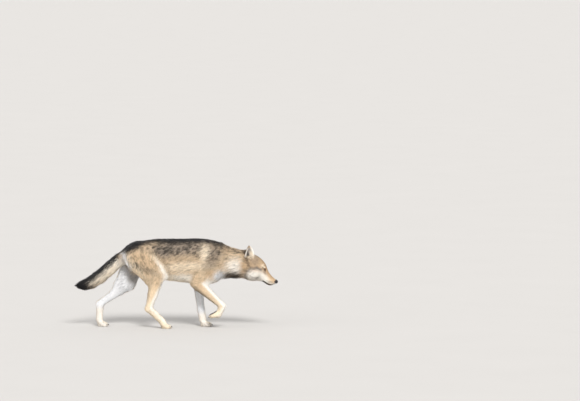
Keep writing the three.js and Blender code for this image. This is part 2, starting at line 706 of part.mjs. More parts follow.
// A box of cells along a limb from one joint to the next, for solidOf.
function limbBox(a, b, side, out, wide, cell, before, after) {
  const [dx, dz] = [b[0] - a[0], b[1] - a[1]];
  return {
    tolerance: TOLERANCE.limb,
    origin: [(a[0] + b[0]) / 2, side * out, (a[1] + b[1]) / 2],
    pitch: -Math.atan2(dz, dx),
    low: [-Math.hypot(dx, dz) / 2 - before, -wide, -wide],
    high: [Math.hypot(dx, dz) / 2 + after, wide, wide],
    cell,
  };
}

// The plane across a limb at a share of the way from joint a to joint b.
function across(a, b, share) {
  return {
    point: [a[0] + (b[0] - a[0]) * share, 0, a[1] + (b[1] - a[1]) * share],
    normal: [b[0] - a[0], 0, b[1] - a[1]],
  };
}

// The space round a foreleg from a share of the way from joint a to joint b on, as a long box.
function limbSpace(a, b, share, wide, grow) {
  const { point, normal } = across(a, b, share);
  return fromGeometry(new THREE.BoxGeometry(600, 400, 2 * (wide + grow))
    .translate(300 - grow, 0, 0)
    .rotateY(-Math.atan2(normal[2], normal[0]))
    .translate(point[0], 0, point[2]));
}

// The claws of one paw, each a little cone along its toe. grow makes the sockets that they stand in.
function claws(leg, size, grow) {
  const profile = [[0, -grow], [1, -grow], [0.8, 0.5], [0, 1]].map(([r, h]) =>
    new THREE.Vector2(r * (CLAW.radius + grow), h < 0 ? h : h * (CLAW.length + grow)));
  const frame = pawFrame(leg);
  return TOES.map(({ across: y, reach }) => fromGeometry(
    new THREE.LatheGeometry(profile, 6)
      .rotateZ(-Math.PI / 2)
      .rotateY(Math.atan2(CLAW.drop, CLAW.length))
      .translate(reach * size - 6, y * size, soleOf(leg) + 17)
      .applyMatrix4(frame)));
}

function addPaw(name, leg, size, legField, cut) {
  const field = melt(BLEND.paw, legField, pawField(leg, size));
  let solid = solidOf(field, {
    origin: [leg.knuckle[0], leg.side * leg.out.foot, leg.knuckle[1]], pitch: leg.bend,
    low: [-70, -56, soleOf(leg) - 16], high: [96, 56, 84], cell: [5.5, 5, 5], tolerance: TOLERANCE.paw,
  });
  solid = beyond(solid, cut.normal, cut.point);
  if (leg.standing) solid = beyond(solid, [0, 0, 1], [0, 0, 0], 0);
  claws(leg, size, 0).forEach((claw, i) => add(`claw_${name}_${i + 1}`, claw, "claw"));
  claws(leg, size, GAP).forEach((socket) => {
    solid = solid.subtract(socket);
  });
  add(`paw_${name}`, solid, "coat_pale");
}

function addForeleg(key, leg) {
  const field = foreField[key];
  const name = `fore_${key}`;
  const forearm = (grow) => limbSpace(leg.elbow, leg.carpus, 0.1, 60, grow);
  const wristCut = across(leg.carpus, leg.knuckle, 0.35);
  let upper = solidOf(bodyField, {
    origin: [(leg.shoulder[0] + leg.elbow[0]) / 2, leg.side * 80, 430],
    low: [-170, -90, -160], high: [150, 90, 160], cell: [16, 14, 16],
    tolerance: TOLERANCE.limb,
  });
  upper = upper.intersect(legRegion(leg.side, REGION.fore, GAP / 2));
  add(`${name}_upper`, upper.subtract(forearm(GAP / 2)), "coat_tan");
  let lower = solidOf(field, limbBox(leg.elbow, leg.carpus, leg.side, leg.out.elbow, 66, [12, 9, 9], 60, 60));
  lower = lower.intersect(forearm(-GAP / 2));
  add(`${name}_lower`, behind(lower, wristCut.normal, wristCut.point), "coat_pale");
  addPaw(name, leg, 1, field, wristCut);
}

function addHindleg(key, leg) {
  const field = hindField[key];
  const name = `hind_${key}`;
  const kneeCut = across(leg.knee, leg.hock, 0.28);
  const hockCut = across(leg.hock, leg.knuckle, 0.2);
  const footCut = across(leg.hock, leg.knuckle, 0.72);
  let thigh = solidOf(bodyField, {
    origin: [(leg.hip[0] + leg.knee[0]) / 2, leg.side * 74, 470],
    low: [-210, -100, -230], high: [210, 100, 230], cell: [18, 16, 18],
    tolerance: TOLERANCE.limb,
  });
  thigh = thigh.intersect(legRegion(leg.side, REGION.hind, GAP / 2));
  thigh = thigh.subtract(beyond(tailSolid(2 * GAP), TAIL_CUT.normal, TAIL_CUT.point, -GAP));
  add(`${name}_thigh`, behind(thigh, kneeCut.normal, kneeCut.point), "coat_grey");
  let shank = solidOf(field, limbBox(leg.knee, leg.hock, leg.side, leg.out.knee, 84, [12, 10, 10], 20, 60));
  shank = beyond(shank, kneeCut.normal, kneeCut.point);
  add(`${name}_shank`, behind(shank, hockCut.normal, hockCut.point), "coat_pale");
  let heel = solidOf(field, limbBox(leg.hock, leg.knuckle, leg.side, leg.out.foot, 50, [12, 8, 8], 40, 30));
  heel = beyond(heel, hockCut.normal, hockCut.point);
  add(`${name}_metatarsus`, behind(heel, footCut.normal, footCut.point), "coat_pale");
  addPaw(name, leg, PAW.hindSize, field, footCut);
}

addTrunkAndNeck();
addHead();
addTail();
for (const [key, leg] of Object.entries(FORELEGS)) addForeleg(key, leg);
for (const [key, leg] of Object.entries(HINDLEGS)) addHindleg(key, leg);

// ---- Materials and the scene graph ----
const LOOKS = {
  coat_grey: { color: 0x9a8a76, roughness: 0.9 },
  coat_tan: { color: 0xc2a27c, roughness: 0.9 },
  coat_pale: { color: 0xe6d8c2, roughness: 0.9 },
  coat_dark: { color: 0x4a4238, roughness: 0.9 },
  ear: { color: 0xb59c80, roughness: 0.9 },
  eye: { color: 0x6e4a1c, roughness: 0.15 },
  nose: { color: 0x1c1a1b, roughness: 0.45 },
  claw: { color: 0x3a322c, roughness: 0.4 },
};
const material = Object.fromEntries(Object.entries(LOOKS)
  .map(([name, look]) => [name, new THREE.MeshStandardMaterial({ metalness: 0, ...look })]));

const wolf = new THREE.Group();
for (const [name, { solid, look }] of pieces) {
  const [points, faces] = fromSolid(solid);
  withoutSpecks(points, faces);
  const geometry = new THREE.BufferGeometry().setFromPoints(faces.flat().map((v) => points[v]));
  geometry.computeVertexNormals();
  const mesh = new THREE.Mesh(geometry, material[look]);
  mesh.name = name;
  wolf.add(mesh);
}
// The origin is the middle of the footprint of the whole animal, on the floor.
const box = new THREE.Box3().setFromObject(wolf);
wolf.position.set(-(box.min.x + box.max.x) / 2, -(box.min.y + box.max.y) / 2, -box.min.z);

export default wolf;
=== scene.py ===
import math

import bpy
import numpy as np
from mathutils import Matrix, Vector
from mathutils.bvhtree import BVHTree


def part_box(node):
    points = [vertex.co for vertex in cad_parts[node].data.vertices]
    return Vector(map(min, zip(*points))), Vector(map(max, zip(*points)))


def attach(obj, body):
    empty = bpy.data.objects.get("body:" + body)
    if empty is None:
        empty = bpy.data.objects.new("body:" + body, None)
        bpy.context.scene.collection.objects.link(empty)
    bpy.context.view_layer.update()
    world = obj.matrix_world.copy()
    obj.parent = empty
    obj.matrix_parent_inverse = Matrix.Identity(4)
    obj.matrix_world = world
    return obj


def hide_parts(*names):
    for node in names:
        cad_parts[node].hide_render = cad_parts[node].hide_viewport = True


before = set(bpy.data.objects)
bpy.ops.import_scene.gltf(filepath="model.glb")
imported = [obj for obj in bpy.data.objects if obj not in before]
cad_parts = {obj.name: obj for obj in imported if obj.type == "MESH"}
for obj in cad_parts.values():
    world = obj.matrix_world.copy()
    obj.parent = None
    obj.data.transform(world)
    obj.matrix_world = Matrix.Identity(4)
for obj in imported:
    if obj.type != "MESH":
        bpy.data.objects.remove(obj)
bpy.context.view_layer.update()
MM = 0.001
random = np.random.default_rng(11)

# ---- Named sizes ----
VOXEL = 3.6 * MM  # of the skin's first mesh
SWELL = 0.5 * MM  # how much each solid grows so that neighbours run together
EAR_SWELL = 1.5 * MM  # of the ears, whose rims are thinner than a voxel
EYE_SHRINK = 1.5 * MM  # of the balls that fill the eyes' sockets
SAMPLES_PER_VOXEL = 80  # points taken on a node for each voxel of its length
SKIN_TRIANGLES = 190_000
PITCH = math.radians(38)  # of the head, nose down
EYE_BACK, EYE_UP, EYE_RADIUS = 147 * MM, 12 * MM, 11.5 * MM  # in the head's frame
EAR_RISE = np.array([-0.06, 0.21, 0.97])  # of the left ear, root to tip
# Joints of each limb in its own upright plane, x and z in millimetres, from the body to the tip.
LIMBS = {
    "fore_left": [(268, 560), (168, 366), (194, 138), (208, 62), (262, 18)],
    "fore_right": [(284, 552), (160, 366), (369, 180), (336, 108), (282, 78)],
    "hind_left": [(-304, 620), (-388, 344), (-616, 184), (-622, 64), (-570, 18)],
    "hind_right": [(-296, 620), (-146, 425), (-220, 160), (-108, 54), (-54, 18)],
    "tail": [(-380, 608), (-448, 555), (-522, 488), (-606, 413), (-672, 367), (-732, 343), (-816, 337)],
}
# Each paw's knuckle joint, the depth of its sole below that, how far it is bent down, and its size.
PAWS = {
    "fore_left": ((209.0, 61.4, 62), 62, 0, 1),
    "fore_right": ((337.0, -72.6, 108), 33, math.radians(152), 1),
    "hind_left": ((-621.0, 75.4, 64), 64, 0, 0.94),
    "hind_right": ((-107.0, -86.6, 54), 54, 0, 0.94),
}
TOES = [(-26, 58), (-10, 72), (10, 72), (26, 58)]  # sideways and forward reach, millimetres
# The coat of each kind of node: depth, tuft length and tuft width in millimetres, and how many smoothing
# steps its surface takes.
COAT = {
    "trunk": (16, 46, 1.5, 60),
    "neck": (22, 58, 1.5, 60),
    "head": (4, 11, 1.0, 9),
    "jaw": (2.5, 6, 0.9, 5),
    "nose": (2.5, 4, 0.8, 5),
    "ear": (1.9, 6.5, 0.8, 2),
    "root": (20, 60, 1.25, 26),
    "brush": (18, 66, 1.25, 20),
    "upper": (12, 32, 1.5, 40),
    "lower": (3.6, 16, 1.4, 16),
    "paw": (2.2, 9, 1.2, 5),
    "thigh": (14, 40, 1.5, 55),
    "shank": (4.5, 20, 1.5, 20),
    "metatarsus": (3.3, 13, 1.4, 12),
}
COVER = 5.6  # how many tufts lie over each other


# ---- Meshes as arrays ----
def arrays(mesh):
    """Vertex places and triangles of a Blender mesh."""
    places = np.empty(len(mesh.vertices) * 3, np.float32)
    mesh.vertices.foreach_get("co", places)
    mesh.calc_loop_triangles()
    triangles = np.empty(len(mesh.loop_triangles) * 3, np.int32)
    mesh.loop_triangles.foreach_get("vertices", triangles)
    return places.reshape(-1, 3).astype(float), triangles.reshape(-1, 3)


def unit(v):
    return v / np.maximum(np.linalg.norm(v, axis=-1, keepdims=True), 1e-12)


def sums(index, values, count):
    """For each of count bins, the sum of the rows of values that index puts there."""
    return np.stack([np.bincount(index, values[:, k], count) for k in range(values.shape[1])], 1)


def normals_of(places, triangles):
    """Area-weighted vertex normals."""
    a, b, c = (places[triangles[:, k]] for k in range(3))
    face = np.cross(b - a, c - a)
    return unit(sums(triangles.ravel(), np.repeat(face, 3, 0), len(places)))


def clean(places, triangles):
    """The mesh with vertices at the same place joined."""
    keys = np.round(places / (0.01 * MM)).astype(np.int64)
    _, first, where = np.unique(keys, axis=0, return_index=True, return_inverse=True)
    return places[first], where.reshape(-1)[triangles]


def mesh_object(name, places, faces, material=None):
    """A smooth mesh of triangles, as an object of the scene."""
    mesh = bpy.data.meshes.new(name)
    mesh.vertices.add(len(places))
    mesh.vertices.foreach_set("co", places.astype(np.float32).ravel())
    mesh.loops.add(faces.size)
    mesh.loops.foreach_set("vertex_index", faces.astype(np.int32).ravel())
    mesh.polygons.add(len(faces))
    mesh.polygons.foreach_set("loop_start", np.arange(0, faces.size, 3, dtype=np.int32))
    mesh.update(calc_edges=True)
    mesh.polygons.foreach_set("use_smooth", np.ones(len(faces), bool))
    if material:
        mesh.materials.append(material)
    made = bpy.data.objects.new(name, mesh)
    bpy.context.scene.collection.objects.link(made)
    return made


def put_vectors(mesh, name, values):
    """Keeps three numbers at each vertex under a name that materials can read."""
    layer = mesh.attributes.new(name, "FLOAT_VECTOR", "POINT")
    layer.data.foreach_set("vector", values.astype(np.float32).ravel())


def applied(draft):
    """The arrays of a draft object with its modifiers applied. The draft is removed."""
    evaluated = draft.evaluated_get(bpy.context.evaluated_depsgraph_get())
    result = arrays(evaluated.to_mesh())
    evaluated.to_mesh_clear()
    bpy.data.objects.remove(draft)
    return result


def voxel_mesh(places, faces, voxel):
    """One closed mesh round all these solids, as arrays."""
    union = mesh_object("union", places, faces)
    remesh = union.modifiers.new("voxels", "REMESH")
    remesh.mode = "VOXEL"
    remesh.voxel_size = voxel
    return applied(union)


def joined(parts):
    """Several (places, triangles) as one."""
    starts = np.cumsum([0, *(len(places) for places, _ in parts[:-1])])
    places = np.concatenate([part[0] for part in parts])
    return places, np.concatenate([part[1] + start for part, start in zip(parts, starts)])


def grid_faces(rows, columns):
    """Triangles of a grid of vertices, rows x columns, whose rows close on themselves."""
    i, j = np.meshgrid(np.arange(rows - 1), np.arange(columns), indexing="ij")
    p, q = i * columns + j, i * columns + (j + 1) % columns
    first = np.stack([p, q, q + columns], 2).reshape(-1, 3)
    return np.concatenate([first, np.stack([p, q + columns, p + columns], 2).reshape(-1, 3)])


def triangle_areas(places, triangles):
    a, b, c = (places[triangles[:, k]] for k in range(3))
    return np.linalg.norm(np.cross(b - a, c - a), axis=1) / 2


def random_shares(count):
    """Random places on a triangle, as the shares of its second and third corner."""
    u, v = random.random((2, count))
    flip = u + v > 1
    return np.where(flip, 1 - u, u), np.where(flip, 1 - v, v)


def circle(count):
    """Angles evenly round a circle."""
    return np.arange(count) * 2 * math.pi / count


class Neighbours:
    """Each vertex's neighbours, for smoothing any values over a mesh."""

    def __init__(self, triangles, count):
        pairs = np.concatenate([triangles[:, [0, 1]], triangles[:, [1, 2]], triangles[:, [2, 0]]])
        edges = np.unique(np.sort(pairs, 1), axis=0)
        both = np.concatenate([edges, edges[:, ::-1]])
        both = both[np.argsort(both[:, 0], kind="stable")]
        self.number = np.bincount(both[:, 0], minlength=count)
        start = np.concatenate([[0], np.cumsum(self.number)[:-1]])
        place = np.arange(len(both)) - start[both[:, 0]]
        self.table = np.repeat(np.arange(count)[:, None], self.number.max(), 1)
        self.table[both[:, 0], place] = both[:, 1]
        self.spare = (self.number.max() - self.number)[:, None]

    def mean(self, values):
        total = sum(values[self.table[:, k]] for k in range(self.table.shape[1]))
        return (total - self.spare * values) / self.number[:, None]

    def smooth(self, values, steps, amount=1.0):
        for _ in range(steps):
            values = values + amount * (self.mean(values) - values)
        return values


# ---- The head's frame: back from the nose tip, sideways, and up ----
HEAD_C, HEAD_S = math.cos(PITCH), math.sin(PITCH)
EYE_CENTRE = np.array(sum(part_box("eye_left"), Vector()) / 2)
NOSE_X = EYE_CENTRE[0] + HEAD_C * EYE_BACK - HEAD_S * EYE_UP
NOSE_Z = EYE_CENTRE[2] - HEAD_S * EYE_BACK - HEAD_C * EYE_UP
TO_HEAD = np.array([[-HEAD_C, 0, HEAD_S], [0, 1, 0], [HEAD_S, 0, HEAD_C]])


def head_coordinates(places):
    """(back, side, up) of each place."""
    return (places - [NOSE_X, 0, NOSE_Z]) @ TO_HEAD.T


def from_head(places):
    return np.asarray(places, float) @ TO_HEAD + [NOSE_X, 0, NOSE_Z]


def step(x, start, end):
    """A smooth step from 0 at start to 1 at end."""
    t = np.clip((x - start) / (end - start), 0, 1)
    return t * t * (3 - 2 * t)


def bump(x, middle, width):
    return np.exp(-(((x - middle) / width) ** 2))


class Near:
    """The nearest of many points to any place close to them, by a grid of cells."""

    def __init__(self, points, cell, reach):
        self.points, self.cell = points, cell
        self.low = points.min(0) - (reach + 1) * cell
        self.size = np.ceil((points.max(0) - self.low) / cell).astype(int) + reach + 2
        grid = np.full(self.size, -1, np.int32)
        at = self.cell_of(points)
        order = np.argsort(-np.linalg.norm(points - self.centre(at), axis=1))
        grid[tuple(at[order].T)] = order
        for _ in range(reach):
            grid = self.spread(grid)
        self.grid = grid

    def cell_of(self, places):
        return np.clip(((places - self.low) / self.cell).astype(int), 0, self.size - 1)

    def centre(self, cells):
        return self.low + (cells + 0.5) * self.cell

    def spread(self, grid):
        """Each cell takes over the nearest point that it or one of its six neighbours holds."""
        sides = [(0, 0, 0), *np.eye(3, dtype=int), *-np.eye(3, dtype=int)]
        cells = np.argwhere(np.any([np.roll(grid >= 0, side, (0, 1, 2)) for side in sides], 0))
        centres = self.centre(cells)
        best, distance = np.full(len(cells), -1), np.full(len(cells), np.inf)
        for side in sides:
            found = grid[tuple(np.clip(cells + side, 0, self.size - 1).T)]
            far = np.where(found >= 0, np.linalg.norm(self.points[found] - centres, axis=1), np.inf)
            closer = far < distance
            best[closer], distance[closer] = found[closer], far[closer]
        made = np.full_like(grid, -1)
        made[tuple(cells.T)] = best
        return made

    def find(self, places):
        """The number of the nearest point, or -1 far from all of them."""
        return self.grid[tuple(self.cell_of(places).T)]


# ---- The body's outline as one mesh ----
def kind_of(node):
    return next(kind for kind in COAT if kind in node.split("_"))


FLESH = sorted(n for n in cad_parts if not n.startswith(("eye", "claw")))
KINDS = list(COAT)
LIMB_NAMES = list(LIMBS)
TAIL = LIMB_NAMES.index("tail")


def limb_of(node):
    """The number of the limb that a node belongs to, or -1."""
    words = set(node.split("_"))
    return next((i for i, limb in enumerate(LIMB_NAMES) if set(limb.split("_")) <= words), -1)


def outline():
    """The solids of flesh run together, with the eyes' sockets filled."""
    parts = []
    for node in [*FLESH, "eye_left", "eye_right"]:
        places, triangles = clean(*arrays(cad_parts[node].data))
        grow = EAR_SWELL if node.startswith("ear") else SWELL if node in FLESH else -EYE_SHRINK
        parts.append((places + grow * normals_of(places, triangles), triangles))
    return voxel_mesh(*joined(parts), VOXEL)


def random_points(places, triangles, count):
    """Points spread evenly over the triangles."""
    area = triangle_areas(places, triangles)
    chosen = triangles[random.choice(len(triangles), count, p=area / area.sum())]
    a, b, c = (places[chosen[:, k]] for k in range(3))
    u, v = (share[:, None] for share in random_shares(count))
    return a * (1 - u - v) + b * u + c * v


def nearest_nodes(places):
    """For each place on the outline, the number of the nearest node of flesh."""
    samples, owner = [], []
    for i, node in enumerate(FLESH):
        low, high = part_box(node)
        count = int(SAMPLES_PER_VOXEL * (high - low).length / VOXEL)
        samples.append(random_points(*arrays(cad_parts[node].data), count))
        owner += [i] * count
    near = Near(np.concatenate(samples), 6 * MM, 3)
    return np.array(owner)[near.find(places)]


# ---- Limbs ----
def limb_coordinates(places, limb):
    """How far along a limb's joints a place is, the limb's way there, and how far ahead or over it lies."""
    joints = np.array(LIMBS[limb]) * MM
    start, leg = joints[:-1], np.diff(joints, axis=0)
    length = np.linalg.norm(leg, axis=1)
    run = np.concatenate([[0], np.cumsum(length)[:-1]])
    at = places[:, [0, 2]]
    offset = at[:, None] - start
    share = np.clip((offset * leg).sum(2) / length**2, 0, 1)
    gap = np.linalg.norm(offset - share[..., None] * leg, axis=2)
    best = gap.argmin(1)
    rows = np.arange(len(places))
    direction = (leg / length[:, None])[best]
    nearest = offset[rows, best]
    across = nearest[:, 1] * direction[:, 0] - nearest[:, 0] * direction[:, 1]
    across = np.sign(across) * gap[rows, best]
    distance = run[best] + share[rows, best] * length[best]
    return distance, np.stack([direction[:, 0], 0 * across, direction[:, 1]], 1), across


# ---- The lie of the coat ----
def lie_of(places, nodes):
    """The way that the hair points on each node, before it is laid on the surface and smoothed."""
    _, y, z = places.T / MM
    side = np.sign(y)
    back, _, up = head_coordinates(places).T / MM
    flow = np.zeros_like(places)
    for i, node in enumerate(FLESH):
        on = nodes == i
        limb = limb_of(node)
        kind = kind_of(node)
        if limb >= 0:
            flow[on] = limb_coordinates(places[on], LIMB_NAMES[limb])[1]
            if kind in ("thigh", "upper"):
                flow[on] += [-0.35, 0, 0]
        elif kind == "trunk":
            down = 0.2 + 0.5 * step(z[on], 520, 660)
            flow[on] = np.stack([-np.ones(on.sum()), 0 * down, -down], 1)
        elif kind == "neck":
            flow[on] = [-1, 0, -0.25]
        elif kind == "ear":
            flow[on] = EAR_RISE * np.stack([1 + 0 * y[on], side[on], 1 + 0 * y[on]], 1)
        else:
            cheek = step(back[on], 120, 200) * step(-up[on], -10, 50)
            way = np.stack([1 + 0 * cheek, 0.35 * side[on] * cheek, -0.55 * cheek], 1)
            flow[on] = way @ TO_HEAD
    return unit(flow)


def head_coat(places):
    """On the head the coat's depth, length and width grow from the nose back, most of all on the cheeks."""
    back, _, up = head_coordinates(places).T / MM
    crown = step(back, 60, 290)
    cheek = step(back, 130, 235) * step(-up, -20, 40)
    nape = step(back, 270, 330)
    depth = 2.5 + 3 * crown + 13 * cheek + 9 * nape
    length = 5 + 11 * crown + 20 * cheek + 18 * nape
    width = 0.8 + 0.3 * crown + 0.4 * cheek + 0.3 * nape
    return np.stack([depth, length, width], 1)


# ---- The face ----
def lip_height(back):
    """The height of the closed lips in the head's frame, in millimetres."""
    return np.interp(back, [0, 8, 30, 51, 81, 96, 106], [-34, -35, -55, -62, -64, -66, -68])


EYE_SPOT = (146, 11)  # the middle of an eye's hollow in the head's frame, back and up, millimetres


def eye_gap(back, up):
    """The distance from the middle of the eye's hollow, seen from the side, in millimetres."""
    return np.hypot(back - EYE_SPOT[0], up - EYE_SPOT[1])


def refined(values, triangles, chosen):
    """Triangles between chosen vertices split in four. Each row of values belongs to a vertex."""
    pairs = np.sort(np.stack([triangles, np.roll(triangles, -1, 1)], 2), 2).reshape(-1, 2)
    cut = chosen[pairs].all(1)
    known, number = np.unique(pairs[cut] @ [len(values), 1], return_inverse=True)
    middle = np.full(len(pairs), -1)
    middle[cut] = len(values) + number.ravel()
    middle = middle.reshape(-1, 3)
    ends = np.stack(np.divmod(known, len(values)), 1)
    values = np.concatenate([values, values[ends].mean(1)])
    count = (middle >= 0).sum(1)
    parts = [triangles[count == 0]]
    a, b, c = triangles[count == 3].T
    ab, bc, ca = middle[count == 3].T
    parts += [np.stack(t, 1) for t in ((a, ab, ca), (ab, b, bc), (ca, bc, c), (ab, bc, ca))]
    for k in range(3):
        one = (count == 1) & (middle[:, k] >= 0)
        p, q, r = np.roll(triangles[one], -k, 1).T
        m = middle[one, k]
        parts += [np.stack([p, m, r], 1), np.stack([m, q, r], 1)]
    return values, np.concatenate(parts)


def face_relief(places):
    """How far the face stands out or in, in millimetres: eye hollows, brows, cheekbones, lips and lines."""
    back, side, up = head_coordinates(places).T / MM
    out = np.abs(side)
    flank = step(out, 8, 20)
    relief = -2.2 * np.exp(-((eye_gap(back, up) / 15) ** 2)) * flank
    relief -= 1.0 * line(back, up, [(135, 4), (122, -4), (108, -8)], 4) * flank
    relief += 1.6 * patch(back, up, (160, 31), (20, 7), 15) * flank
    relief += 1.6 * patch(back, up, (176, -12), (34, 8), -8) * flank
    relief -= 1.8 * patch(back, up, (205, 26), (26, 13)) * flank
    relief -= 1.6 * bump(out, 0, 6) * bump(back, 150, 30) * step(up, 0, 12)
    relief -= 1.2 * bump(out, 0, 3.5) * step(back, 205, 225) * step(up, 20, 34)
    relief -= 1.4 * patch(back, up, (72, -22), (34, 12), 4) * flank
    relief += 1.3 * patch(back, up, (36, -36), (20, 11), -25) * flank
    lip = lip_height(back) - up
    below = 1 - step(back, 99, 104)
    relief -= 2.3 * bump(lip, 1.5, 1.9) * below * step(back, 4, 10)
    relief += 1.1 * bump(lip, -5, 4) * below + 0.8 * bump(lip, 8, 3.5) * below
    return relief


def eye_frame(side):
    """One eye's centre, gaze, long axis from its inner corner to its outer one, and the way up from that."""
    centre = EYE_CENTRE * [1, side, 1]
    gaze = unit(np.array([-0.50, 0.80 * side, 0.30]) @ TO_HEAD)
    long = np.array([0.97, 0, 0.2]) @ TO_HEAD
    long = unit(long - (long @ gaze) * gaze)
    high = np.cross(gaze, long) * side
    return centre, gaze, long, -high if (np.array([0, 0, 1]) @ high) < 0 else high


LID_HALF, LID_HIGH, LID_LOW = 10.0, 4.3, 3.9  # of the opening between the lids, millimetres
LID_REACH = 15.5  # how far the lids spread from the eye's middle before they sink into the skin
LID_STEPS, LID_ROWS = 72, 12
LID_SOFT = 1.6  # how softly the lids run into the skin, millimetres


def tree_of(places, triangles):
    """A search tree of some of a mesh's triangles."""
    used, local = np.unique(triangles, return_inverse=True)
    return BVHTree.FromPolygons(places[used].tolist(), local.reshape(-1, 3).tolist())


def lids(side, places, triangles):
    """The two lids of one eye: from just under the rim, over the eyeball's front, and down into the skin."""
    centre, gaze, long, high = eye_frame(side)
    close = np.linalg.norm(places[triangles[:, 0]] - centre, axis=1) < 32 * MM
    tree = tree_of(places, triangles[close])
    angle = circle(LID_STEPS)
    a = LID_HALF * np.cos(angle)
    b = np.where(np.sin(angle) >= 0, LID_HIGH, -LID_LOW) * (1 - np.abs(np.cos(angle)) ** 2.3) ** 0.85
    rows = np.maximum(np.arange(-2, LID_ROWS), 0) / (LID_ROWS - 1)
    rings = []
    for row, share in enumerate(rows):
        x = a + (LID_REACH * np.cos(angle) - a) * share
        y = b + (LID_REACH * np.sin(angle) - b) * share
        flat = np.hypot(x, y)
        plane = x[:, None] * long + y[:, None] * high
        if row < 2:
            radius = EYE_RADIUS / MM + (-0.6, 0.5)[row]
            height = np.sqrt(radius**2 - flat**2)
        else:
            hug = EYE_RADIUS / MM + 0.9 + 0.9 * math.sin(math.pi * min(share * 1.6, 1))
            over = np.sqrt(np.maximum(hug**2 - flat**2, 0))
            ground = np.array([height_of(tree, centre + place * MM, gaze) for place in plane])
            ground = ground + 0.5 - 2.2 * share**2
            height = LID_SOFT * np.logaddexp(over / LID_SOFT, ground / LID_SOFT)
            height = height + (ground - height) * step(share, 0.45, 1)
        rings.append(centre + (gaze * height[:, None] + plane) * MM)
    made = np.concatenate(rings)
    faces = grid_faces(len(rows), LID_STEPS)
    if (normals_of(made, faces) @ gaze).mean() < 0:
        faces = faces[:, ::-1]
    return made, faces, np.repeat(rows, LID_STEPS)


def gaze_offsets(places, side):
    """How far places lie ahead of an eye's centre and off the line of its gaze, in millimetres."""
    centre, gaze, _, _ = eye_frame(side)
    offset = (places - centre) / MM
    ahead = offset @ gaze
    return ahead, np.linalg.norm(offset - ahead[:, None] * gaze, axis=1)


SUNK_RADIUS = 10.4  # of the ball that the skin stays in where the lids open, millimetres


def sunk(places, side):
    """Places of the skin moved back so that they stay inside the eyeball where the lids open."""
    ahead, flat = gaze_offsets(places, side)
    most = np.sqrt(np.maximum(SUNK_RADIUS**2 - flat**2, 0)) + 30 * step(flat, 10.6, 14)
    back = np.maximum(ahead - most, 0) * (ahead > 0)
    return places - (back * MM)[:, None] * eye_frame(side)[1]


def height_of(tree, place, gaze):
    """How high the skin is over a place in the eye's middle plane, along the gaze, in millimetres."""
    hit = tree.ray_cast(Vector(place + gaze * 30 * MM), Vector(-gaze))[0]
    return 5.0 if hit is None else float((np.array(hit) - place) @ gaze) / MM


# ---- The skin ----
FACE_BACK, LIPS_BACK = 180, 110  # how far back from the nose the face and the lips are refined, millimetres
BLEND_STEPS, LIE_STEPS = 25, 12  # smoothing steps of what is known at each vertex, and of the hair's lie


def tangent(ways, normals):
    """Directions laid flat on the surface."""
    return unit(ways - (ways * normals).sum(1, keepdims=True) * normals)


def coat_values(places, nodes, near):
    """What is known at each vertex of the outline, blended where nodes meet, and 1 on the nose pad.

    Five tables hold the coat's depth, its length and width, its smoothing steps, the limb, head and ear that
    the vertex is on, and the lie of the hair.
    """
    kinds = np.array([KINDS.index(kind_of(n)) for n in FLESH])[nodes]
    table = np.array(list(COAT.values()), float)[kinds]
    on_head = kinds == KINDS.index("head")
    table[on_head, :3] = head_coat(places[on_head])
    limbs = np.array([limb_of(n) for n in FLESH])[nodes]
    is_limb = limbs[:, None] == np.arange(len(LIMB_NAMES))
    is_head = np.isin(kinds, [KINDS.index(k) for k in ("head", "jaw", "nose")])
    is_ear = (kinds == KINDS.index("ear")).astype(float)
    known = np.column_stack([table, is_limb, is_head, is_ear, lie_of(places, nodes)])
    known = near.smooth(known, BLEND_STEPS)
    ear = step(near.smooth(is_ear[:, None], 4), 0.45, 0.85)
    depth_and_steps = [0, 3]
    known[:, depth_and_steps] += ear * (np.array(COAT["ear"])[depth_and_steps] - known[:, depth_and_steps])
    is_nose = (kinds == KINDS.index("nose")).astype(float)
    return np.split(known, [1, 3, 4, 11], axis=1), near.smooth(is_nose[:, None], 1)


def by_lips_or_eyes(back, up):
    """Where the face is split twice."""
    lips = (np.abs(lip_height(back) - up) < 12) & (back < LIPS_BACK)
    return lips | (eye_gap(back, up) < 22)


